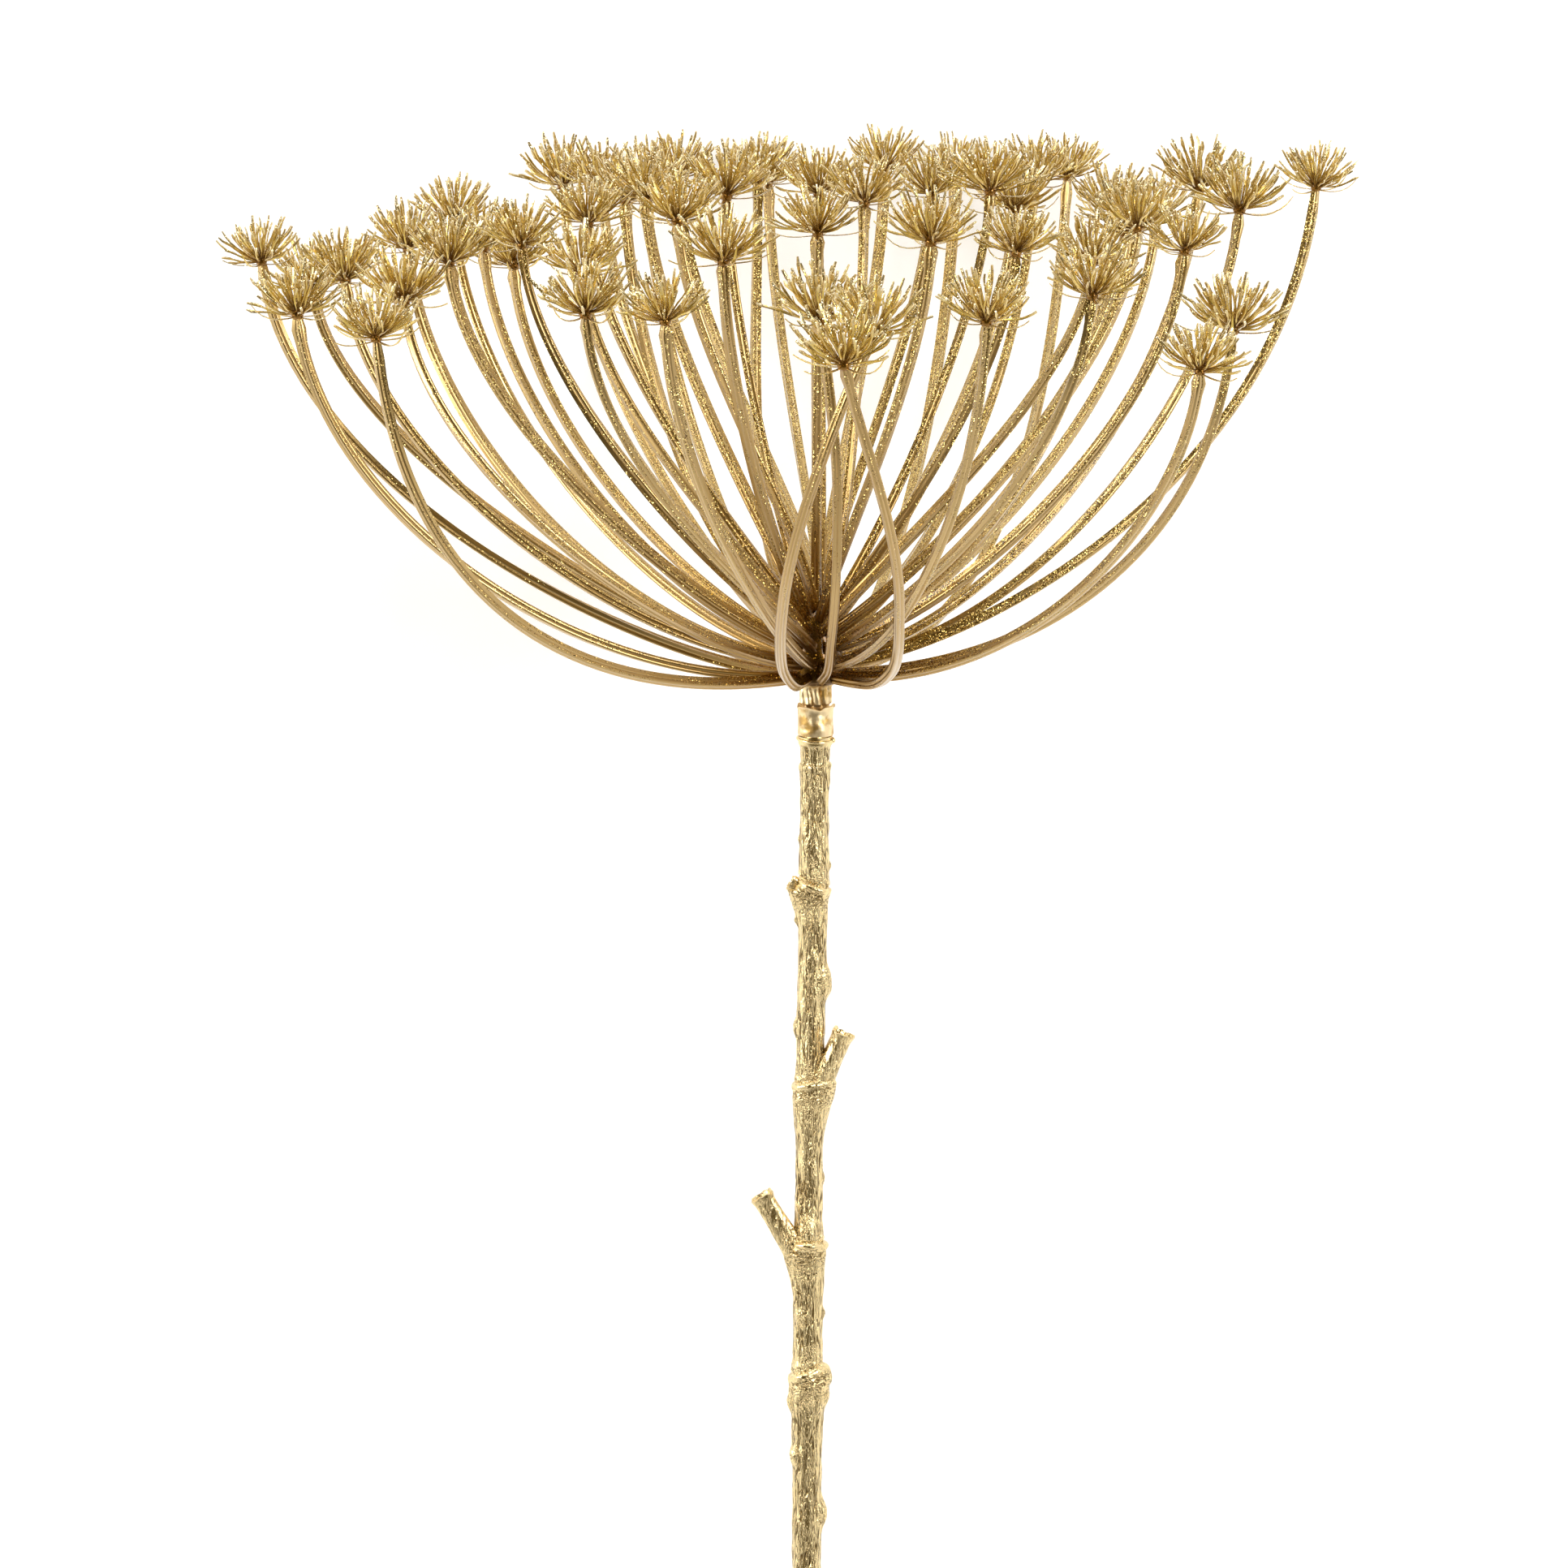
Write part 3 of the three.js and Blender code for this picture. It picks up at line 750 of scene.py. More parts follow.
@dataclass
class Twig:
    """The bark-textured stem: swollen nodes, cut side shoots, buds and a plain cut end."""

    end: float = -600
    end_edge: float = 0.25  # how far the cut end's edge is rounded
    end_rings: Pair = (0.15, 0.6)  # heights over the end
    top: float = -14.5
    spigot: Pair = (3.2, 3.5)  # radius and length inside the ferrule
    bead: Bead = Bead()
    sides: int = 96
    ring_step: float = 0.6
    ring_step_low: float = 1.3  # on the plainer lower half
    low_from: float = -235
    ring_step_at_node: float = 0.32
    ring_reach: float = 3.0  # how far from a scar the rings are closest
    bark_from: float = -16.6  # it is smooth above this, under the bead
    calm: float = 0.4  # the bark's share near the ferrule
    calm_to: float = -21
    lump: float = 0.24
    lump_scale: Triple = (0.3, 0.3, 0.16)  # waves in a millimetre, along each axis
    fold: float = 0.2
    fold_scale: Triple = (0.55, 0.55, 0.07)
    wrinkle_scale: Triple = (0.25, 0.25, 0.95)
    ridge: float = 0.6
    valley: float = 2.4
    warp: float = 1.3
    warp_scale: float = 0.17
    wrinkled: float = 0.75  # how far wrinkles take over from folds at a node
    bud_knotted: float = 0.8
    knot_under: Pair = (2.5, 5.5)  # how far under a scar a node's middle is, and its length
    collar: Triple = (0.45, 0.7, 0.9)  # a scar's collar: height, how far under it, and width
    crease: Triple = (0.55, -0.3, 0.4)  # and its crease
    first_scar: float = 0.45  # size of the one next to the ferrule
    lip_smooth: float = 0.85
    crotch: float = 2.7  # from a shoot's middle to where the stem meets its upper side
    swells_under: float = 7.5  # how far under a shoot the stem starts to swell
    swell_curve: float = 1.4
    swell_fade: float = 0.2
    swell_width: float = 0.75  # in radians
    bud_shape: Triple = (1.7, 1.3, 0.75)  # a bud's length, width and height, against its size
    bud_edge: float = 1.3
    bud_reach: float = 5
    sway: Triple = (0.5, -14.2, 70)  # in depth: how far, from what height, and its length
    upper: list[Pair] = field(  # height and radius
        default_factory=lambda: [
            (-14.5, 4.3), (-16.3, 4.3), (-17.4, 3.8), (-20.6, 3.65), (-21.4, 3.85),
            (-22.6, 3.75), (-34, 3.55), (-44, 3.7), (-50, 3.75), (-53, 3.95), (-55.5, 3.8),
            (-68, 3.45), (-80, 3.45), (-95, 3.5), (-99.5, 3.6), (-102, 4.35), (-105.5, 4.5),
            (-111, 4.0), (-115.5, 3.5), (-121, 3.3), (-135, 3.45), (-140, 3.65), (-142.7, 4.45),
            (-147, 4.2), (-153, 3.8), (-160, 3.6), (-172, 3.7), (-175.5, 4.4), (-178, 4.8),
            (-182.4, 4.7), (-186, 4.0), (-198, 3.6), (-212, 3.6), (-226, 3.55),
        ]
    )  # fmt: skip
    wander: list[Pair] = field(  # height and how far aside
        default_factory=lambda: [
            (-14, 0), (-45, -0.3), (-100, -1.2), (-160, -1.6), (-226, -1.8), (-330, -0.9),
            (-440, 0.8), (-520, 0.4), (-600, -0.8),
        ]
    )  # fmt: skip
    shoots: tuple[Shoot, ...] = (
        Shoot(-55.4, 180, 52, 7.0, 2.4, 1.6, 2.7),
        Shoot(-107.5, -8, 24.5, 20.3, 3.5, 2.6, 2.3),
        Shoot(-149.5, 185, 31, 22.6, 3.4, 2.55, 2.5),
        Shoot(-241, -18, 27, 15, 2.9, 2.3, 2.0),
        Shoot(-333, 196, 33, 18, 2.9, 2.4, 2.0),
        Shoot(-428, -30, 24, 14, 2.8, 2.2, 2.0),
    )
    shoot_side: Triple = (0.1, 1, 0)
    buds: list[Triple] = field(  # height, bearing and size
        default_factory=lambda: [
            (-40.3, 182, 0.6), (-47.2, 4, 0.6), (-61.2, 180, 0.7), (-75.8, -14, 2.0),
            (-79, 16, 1.2), (-87.9, 178, 1.3), (-126, 0, 0.8), (-139.4, -96, 1.7),
            (-160.3, 0, 0.8), (-161.4, -120, 1.1), (-176.2, 0, 1.7), (-181.5, -10, 1.2),
            (-183.5, 184, 1.1), (-196.3, 205, 1.4), (-211.5, 4, 2.0),
        ]
    )  # fmt: skip
    scars: list[Triple] = field(  # height, rise towards a bearing, and that bearing
        default_factory=lambda: [
            (-21.4, 0.1, 0), (-51.4, 1.4, 180), (-100.9, 1.1, 0), (-141.8, 0.3, 180),
            (-174.6, 1.5, 0),
        ]
    )  # fmt: skip
    lower_seed: int = 11
    lower_first: Pair = (6, 10)  # from the upper part to the first lower node
    lower_gap: Pair = (41, 50)
    lower_swell: Pair = (0.7, 1.2)
    lower_node: tuple[Triple, ...] = (  # height over the node, radius, and share of its swell
        (4.5, 3.7, 0), (0, 3.7, 1), (-3.5, 3.6, 1), (-9, 3.9, 0),
    )  # fmt: skip
    lower_scar: Pair = (1.2, 1.1)  # height over the node, and rise
    end_radius: float = 3.7
    least_end: float = 20  # from the last node to the cut end
    lower_bud_seed: int = 23
    lower_buds: int = 6
    lower_buds_from: Pair = (-236, 30)  # a height, and how far over the cut end
    lower_bud_turn: Pair = (-200, 20)
    lower_bud_size: Pair = (1.1, 1.9)
    profile: list[Pair] = field(init=False)

    def __post_init__(self) -> None:
        """Adds the lower nodes at the part's own seeded distances, and the lower buds."""
        draw = seeded(self.lower_seed)
        self.profile = list(self.upper)
        node = self.upper[-1][0] - lerp(*self.lower_first, next(draw))
        above, rise = self.lower_scar
        while node > self.end + self.least_end:
            swell = lerp(*self.lower_swell, next(draw))
            for over, radius, share in self.lower_node:
                self.profile.append((node + over, radius + share * swell))
            self.scars.append((node + above, rise, 180 * (len(self.scars) % 2)))
            node -= lerp(*self.lower_gap, next(draw))
        self.profile.append((self.end, self.end_radius))
        draw = seeded(self.lower_bud_seed)
        first, over_end = self.lower_buds_from
        for i in range(self.lower_buds):
            height = lerp(first, self.end + over_end, (i + next(draw)) / self.lower_buds)
            turn = lerp(*self.lower_bud_turn, next(draw))
            self.buds.append((height, turn, lerp(*self.lower_bud_size, next(draw))))

    def centre(self, height: float) -> Vector:
        """The twig's centre at a height.

        Args:
            height: The height.

        Returns:
            The point on its wandering middle line.
        """
        far, start, length = self.sway
        depth = far * math.sin((height - start) / length)
        return Vector((along(self.wander, height), depth, height))

    def knot(self, height: float) -> float:
        """How far the bark belongs to a node, from 0 to 1: mostly below the node's scar."""
        under, length = self.knot_under
        return max(bell(scar - height - under, length) for scar, _, _ in self.scars[1:])

    def bark(self, spot: Vector, knot: float) -> float:
        """The bark's height at a spot: long folds, and cross wrinkles round the nodes.

        Args:
            spot: The place on the smooth stem, in millimetres.
            knot: How far the spot belongs to a node.

        Returns:
            Its height in millimetres.
        """
        lump = noise.noise(scaled(spot, self.lump_scale))
        warp = noise.noise(spot * self.warp_scale) * self.warp
        long = abs(noise.noise(scaled(spot, self.fold_scale, (warp, 0, 0))))
        cross = abs(noise.noise(scaled(spot, self.wrinkle_scale, (0, 0, warp))))
        folded, wrinkled = self.ridge - self.valley * long, self.ridge - self.valley * cross
        fold = lerp(folded, wrinkled, self.wrinkled * knot)
        return self.lump * lump * (1 + knot) + self.fold * fold

    def under_scar(self, height: float, bearing: float) -> Pair:
        """How far below the nearest ring scar a spot is.

        Args:
            height: The spot's height.
            bearing: The spot's bearing, in radians.

        Returns:
            How far in millimetres, and the scar's size against the others.
        """
        under = [
            place + rise * math.cos(bearing - math.radians(towards)) - height
            for place, rise, towards in self.scars
        ]
        nearest = min(range(len(under)), key=lambda i: abs(under[i]))
        return under[nearest], 1.0 if nearest else self.first_scar

    def scar(self, height: float, bearing: float) -> float:
        """The ring scar of each node: a crease that a collar stands under.

        Args:
            height: The spot's height.
            bearing: The spot's bearing, in radians.

        Returns:
            Its height over the bark, in millimetres.
        """
        under, size = self.under_scar(height, bearing)
        collar, collar_at, collar_width = self.collar
        crease, crease_at, crease_width = self.crease
        raised = collar * bell(under - collar_at, collar_width)
        return size * (raised - crease * bell(under - crease_at, crease_width))

    def lip(self, height: float, bearing: float) -> float:
        """How smooth the bark is: the collar's lip shows no creases.

        Args:
            height: The spot's height.
            bearing: The spot's bearing, in radians.

        Returns:
            From 0 for bark to nearly 1 on the lip.
        """
        under, size = self.under_scar(height, bearing)
        _, at, width = self.collar
        return self.lip_smooth * size * bell(under - at, width)

    def shoulder(self, height: float, bearing: float) -> float:
        """How far the stem swells into the root of a side shoot.

        Args:
            height: The spot's height.
            bearing: The spot's bearing, in radians.

        Returns:
            How far, in millimetres.
        """
        swell = 0.0
        for one in self.shoots:
            crown = self.crotch / math.tan(math.radians(one.lean_deg))
            rise = (height - one.height + self.swells_under) / (crown + self.swells_under)
            if not 0 < rise < 1 + self.swell_fade:
                continue
            away = (bearing - math.radians(one.bearing_deg) + math.pi) % math.tau - math.pi
            grown = rise**self.swell_curve if rise < 1 else 1 - (rise - 1) / self.swell_fade
            swell += one.shoulder * grown * bell(away, self.swell_width)
        return swell

    def bud(self, height: float, bearing: float, radius: float) -> Pair:
        """The bump of the buds at a spot.

        Args:
            height: The spot's height.
            bearing: The spot's bearing, in radians.
            radius: The stem's radius there.

        Returns:
            The bump in millimetres, and how far the spot is on one, from 0 to 1.
        """
        length, width, high = self.bud_shape
        bump = near = 0.0
        for place, towards, size in self.buds:
            if abs(height - place) < self.bud_reach * size:
                turn = bearing - math.radians(towards)
                away = abs((turn + math.pi) % math.tau - math.pi) * radius
                reach = ((height - place) / (length * size)) ** 2 + (away / (width * size)) ** 2
                bump += high * size * math.exp(-(reach**self.bud_edge))
                near = max(near, math.exp(-reach))
        return bump, near

    def ring_heights(self) -> list[float]:
        """Heights of the stem's rings, close together at each scar.

        Returns:
            The heights, from the cut end up.
        """
        heights = []
        height = self.top
        while height > self.end + 1:
            heights.append(height)
            near = min(abs(height - scar[0]) for scar in self.scars)
            coarse = self.ring_step if height > self.low_from else self.ring_step_low
            height -= self.ring_step_at_node if near < self.ring_reach else coarse
        return [*(self.end + over for over in self.end_rings), *reversed(heights)]

    def stem(self) -> bmesh.types.BMesh:
        """The stem from its cut end to the spigot in the ferrule.

        Returns:
            Its bmesh.
        """
        heights = self.ring_heights()
        last = len(heights) - 1
        bm = tube(self.sides, last)
        tone = bm.verts.layers.float.new("knot")
        smooth = bm.verts.layers.float.new("smooth")
        for vertex in bm.verts:
            at = heights[round(vertex.co.z * last)]
            bearing = bearing_of(vertex.co)
            out = direction(bearing, 0)
            radius = along(self.profile, at)
            knot = self.knot(at)
            if at < self.bark_from:
                calm = self.calm if at > self.calm_to else 1.0
                bump, near = self.bud(at, bearing, radius)
                bark = self.bark(out * radius + UP * at, max(knot, near))
                radius += calm * bark + self.scar(at, bearing) + self.shoulder(at, bearing)
                radius += bump
                knot = max(knot, self.bud_knotted * near)
            vertex[tone] = knot
            vertex[smooth] = 1.0 if at > self.bark_from else self.lip(at, bearing)
            vertex.co = self.centre(at) + out * (radius - self.end_edge * (at == heights[0]))
        crown = max(bm.faces, key=lambda f: f.calc_center_median().z)
        radius, length = self.spigot
        bmesh.ops.inset_region(bm, faces=[crown], thickness=self.upper[0][1] - radius)
        grown = bmesh.ops.extrude_face_region(bm, geom=[crown])
        top = [v for v in grown["geom"] if isinstance(v, bmesh.types.BMVert)]
        bmesh.ops.translate(bm, vec=UP * length, verts=top)
        bmesh.ops.delete(bm, geom=[crown], context="FACES")
        return bm

    def shoot(self, one: Shoot) -> bmesh.types.BMesh:
        """A cut side shoot with a swollen root and a hollowed, torn cut face.

        Args:
            one: Its sizes.

        Returns:
            Its bmesh.
        """
        bm = tube(one.sides, max(int(one.length / one.ring_step), one.least_rings))
        tone = bm.verts.layers.float.new("knot")
        smooth = bm.verts.layers.float.new("smooth")
        axis = direction(math.radians(one.bearing_deg), math.radians(90 - one.lean_deg))
        foot = self.centre(one.height)
        side, second, _ = path_frames([foot, foot + axis], Vector(self.shoot_side))[0]
        flare, flare_length = one.flare
        knotted, knotted_length = one.knotted
        for vertex in bm.verts:
            share = vertex.co.z
            bearing = bearing_of(vertex.co)
            out = side * math.cos(bearing) + second * math.sin(bearing)
            radius = lerp(one.root, one.tip, min(share * one.taper, 1.0))
            radius += flare * bell((share - 1) * one.length, flare_length)
            radius += one.lobe * math.sin(bearing * one.lobes + one.height)
            spot = foot + axis * one.length * share + out * radius
            around = Vector((out.dot(side), out.dot(second), share)) * radius * one.bark_scale
            bark = self.bark(around, one.bark_knot)
            torn = one.torn * noise.noise(out * one.torn_scale + axis)
            ragged = torn * last_part(share, one.torn_parts)
            vertex[tone] = knotted * bell(share, knotted_length)
            smoother = one.smoother_at_cut * last_part(share, one.smoother_parts)
            vertex[smooth] = one.smooth + smoother
            vertex.co = spot + out * bark + axis * ragged
        top = max(bm.faces, key=lambda f: (f.calc_center_median() - foot).dot(axis))
        for inset, depth in one.cut:
            bmesh.ops.inset_region(bm, faces=[top], thickness=inset, depth=depth)
        return bm

    def build(self, bench: Bench, finish: BarkGold) -> bpy.types.Object:
        """Makes the whole twig as one piece.

        Args:
            bench: What makes a shape a piece.
            finish: The bark's finish.

        Returns:
            The piece.
        """
        bm = self.stem()
        join(bm, self.bead.build(self.centre(self.bead.height)))
        for one in self.shoots:
            join(bm, self.shoot(one))
        material = finish.build(bench.lie)
        return bench.piece(bm, "gilded_twig", [material], Slot.BARK, ["twig"])


# ------------------------------------------------------------------ ferrule and hub


@dataclass
class Ferrule:
    """The thin sleeve shrunk over the joint, with a torn film of a rim round the neck."""

    sides: int = 72
    walls: tuple[Pair, ...] = (
        (3.6, -14.2), (4.36, -14.2), (4.48, -13.9), (4.46, -12.4), (4.4, -10.9), (4.36, -9.4),
        (4.38, -8.4), (4.46, -7.7), (4.66, -7.2), (4.97, -6.8), (4.9, -6.72), (4.5, -7.2),
        (4.2, -7.9), (3.9, -8.4), (3.62, -9.6),
    )  # fmt: skip
    film_from: float = -7.9  # the rim is a thin film above this
    film_height: float = 1.1
    torn: Pair = (1.3, 0.5)  # how far its tears take it down, and in
    torn_scale: float = 2.4
    torn_seed: Triple = (3, 1, 7)
    torn_less: float = 0.1
    dent: float = 0.16
    dent_scale: Triple = (1.3, 1.3, 0.22)
    bulge: float = 0.02  # the most that a dent stands out
    outside: float = 4.2  # the radius past which it is dented

    def build(self, bench: Bench, finish: bpy.types.Material) -> bpy.types.Object:
        """Makes the sleeve as a closed ring of its wall's section.

        Args:
            bench: What makes a shape a piece.
            finish: The lacquered sleeve's material.

        Returns:
            The piece.
        """
        bm = lathe(list(self.walls), self.sides, closed=True)
        down, inwards = self.torn
        for vertex in bm.verts:
            film = max(0.0, (vertex.co.z - self.film_from) / self.film_height)
            out = Vector((vertex.co.x, vertex.co.y, 0)).normalized()
            ragged = noise.noise(out * self.torn_scale + Vector(self.torn_seed)) - self.torn_less
            vertex.co += (UP * down + out * inwards) * film * min(ragged, 0.0)
            around = scaled(out + UP * vertex.co.z, self.dent_scale)
            dent = min(self.dent * noise.noise(around), self.bulge)
            vertex.co += out * dent * (vertex.co.xy.length > self.outside)
        return bench.piece(bm, "gilded_ferrule", [finish], Slot.SLEEVE, ["ferrule"])


@dataclass
class Hub:
    """The hub that every ray springs from, on a neck like a bundle of rods."""

    radius: float = 7.0
    height: float = 19.0
    dome_rings: int = 10
    sides: int = 88
    walls: tuple[Pair, ...] = (
        (0.0, -10.3), (3.0, -10.3), (3.2, -10.0), (3.2, -7.0), (3.6, -6.4), (4.0, -6.1),
        (4.0, -5.3), (4.0, -4.5), (4.0, -3.7), (4.0, -2.9), (4.0, -2.1), (4.5, -1.5),
        (5.5, -1.1), (6.5, -0.8),
    )  # fmt: skip
    rods: int = 9
    fluted: Pair = (3.5, 6.6)  # the neck's radii that the flutes are cut between
    flute: float = 0.24
    twist: float = 0.05  # of the rods, in radians to a millimetre
    shaded_from: float = -1.2  # the dome takes the painted shade in full down to here, deep among the rays
    seam_shade: float = 0.175  # and this much of it under there, where the lacquer starts
    neck_below: float = -1.3
    missed: float = 0.5  # share of the flake cells that the glitter misses

    def build(
        self, bench: Bench, on_dome: GlitterGold, on_neck: bpy.types.Material
    ) -> bpy.types.Object:
        """Makes the hub as one turned and fluted shape.

        Args:
            bench: What makes a shape a piece.
            on_dome: The dome's finish.
            on_neck: The neck's material.

        Returns:
            The piece.
        """
        turns = [i / self.dome_rings * math.pi / 2 for i in range(self.dome_rings)]
        dome = [(self.radius * math.cos(turn), self.height * math.sin(turn)) for turn in turns]
        bm = lathe([*self.walls, *dome, (0.0, self.height)], self.sides, closed=False)
        inner, outer = self.fluted
        tone = bm.verts.layers.float.new("shade")
        for vertex in bm.verts:
            if inner < vertex.co.xy.length < outer and vertex.co.z < 0:
                bearing = bearing_of(vertex.co) + self.twist * vertex.co.z
                rod = abs(math.sin(bearing * self.rods / 2))
                vertex.co.xy *= 1 - self.flute * (1 - rod) ** 2
            # The dome is painted with shade, as it sits deep among the rays.
            vertex[tone] = 1.0 if vertex.co.z > self.shaded_from else self.seam_shade
        spread(bm, "bare", self.missed)
        for face in bm.faces:
            face.material_index = int(face.calc_center_median().z < self.neck_below)
        finishes = [on_dome.build(bench.lie), on_neck]
        return bench.piece(bm, "gilded_hub", finishes, Slot.HUB, ["hub"])


# ------------------------------------------------------------------ umbellets


@dataclass(frozen=True)
class Head:
    """Where a head stands, and its ray's own course if it has one."""

    at: Triple
    out: float | None = None
    back: float | None = None
    rise_deg: float | None = None
    bend: tuple[Triple, ...] = ()
    bare: float = 0.0  # how far the glitter missed its ray


@dataclass(frozen=True)
class Whorl:
    """A ring of rays on the hub, with its heads in order of bearing."""

    place_deg: float
    rise_deg: float
    out: float
    back: float
    heads: tuple[Head, ...]


WHORLS = (
    Whorl(2, 0, 0.36, 0.3, (
        Head((-126, -38, 96)),
        Head((-106, -77, 96), 0.46, 0.41),
        Head((12, -100, 100), bare=0.5, bend=(
            (-8, -28, 6), (-9.1, -46, 15), (-8.9, -62, 25.5), (-7.6, -77, 38.5),
            (-4.6, -88, 53), (-0.5, -95, 67), (5.5, -99, 84),
        )),
        Head((0, -75, 100), rise_deg=26, bare=0.35, bend=(
            (3.4, -27, 13), (4.1, -42, 26), (4.5, -56, 43), (4.2, -66, 63), (2.4, -72, 82),
        )),
        Head((5, -126, 97), bare=0.5, bend=(
            (14.7, -24, 2.8), (18, -37, 8), (19.2, -52, 15), (19.3, -66, 23.5),
            (18.6, -86, 39.5), (16, -101, 55), (12.5, -112, 69), (8, -120, 85),
        )),
        Head((90, -96, 91), 0.31, 0.24),
        Head((99, -70, 97), 0.33, 0.36),
        Head((65, 114, 109)),
        Head((37, 122, 108)),
        Head((-42, 122, 106)),
        Head((-124, 25, 93), 0.3, 0.26),
        Head((-136, 3, 103), 0.2, 0.36),
    )),
    Whorl(13, 9, 0.33, 0.3, (
        Head((-115, -14, 101)), Head((-100, -49, 101)), Head((-37, -104, 104)),
        Head((39, -104, 104)), Head((123, 14, 120), 0.22, 0.46), Head((105, 32, 112)),
        Head((96, 57, 114)), Head((87, 94, 102)), Head((-11, 113, 108)),
        Head((-63, 106, 108)), Head((-90, 76, 103)), Head((-101, 47, 100)),
    )),
    Whorl(25.5, 20, 0.3, 0.3, (
        Head((-56, -85, 103)), Head((65, -75, 106)), Head((89, -27, 110)),
        Head((75, 71, 106)), Head((56, 89, 111)), Head((-34, 98, 111)),
        Head((-53, 81, 111)), Head((-75, 53, 95)), Head((-82, 28, 103)), Head((-90, 2, 103)),
    )),
    Whorl(39.5, 34, 0.26, 0.28, (
        Head((-72, -17, 110)), Head((-57, -44, 107)), Head((67, -12, 105)),
        Head((79, 14, 110)), Head((77, 40, 105)), Head((50, 61, 108)),
        Head((18, 84, 115)), Head((-14, 74, 114)), Head((-47, 56, 111)),
    )),
    Whorl(55, 52, 0.22, 0.28, (
        Head((-23, -52, 111)), Head((27, -47, 115)), Head((48, -30, 110)),
        Head((43, 22, 118)), Head((29, 45, 114)), Head((-42, 31, 115)), Head((-56, 8, 112)),
    )),
    Whorl(70, 70, 0.2, 0.28, (
        Head((-34, -11, 115)), Head((12, 22, 115)), Head((1, 47, 114)), Head((-22, 13, 118)),
    )),
    Whorl(90, 90, 0.2, 0.28, (Head((0, -24, 114)),)),
)  # fmt: skip


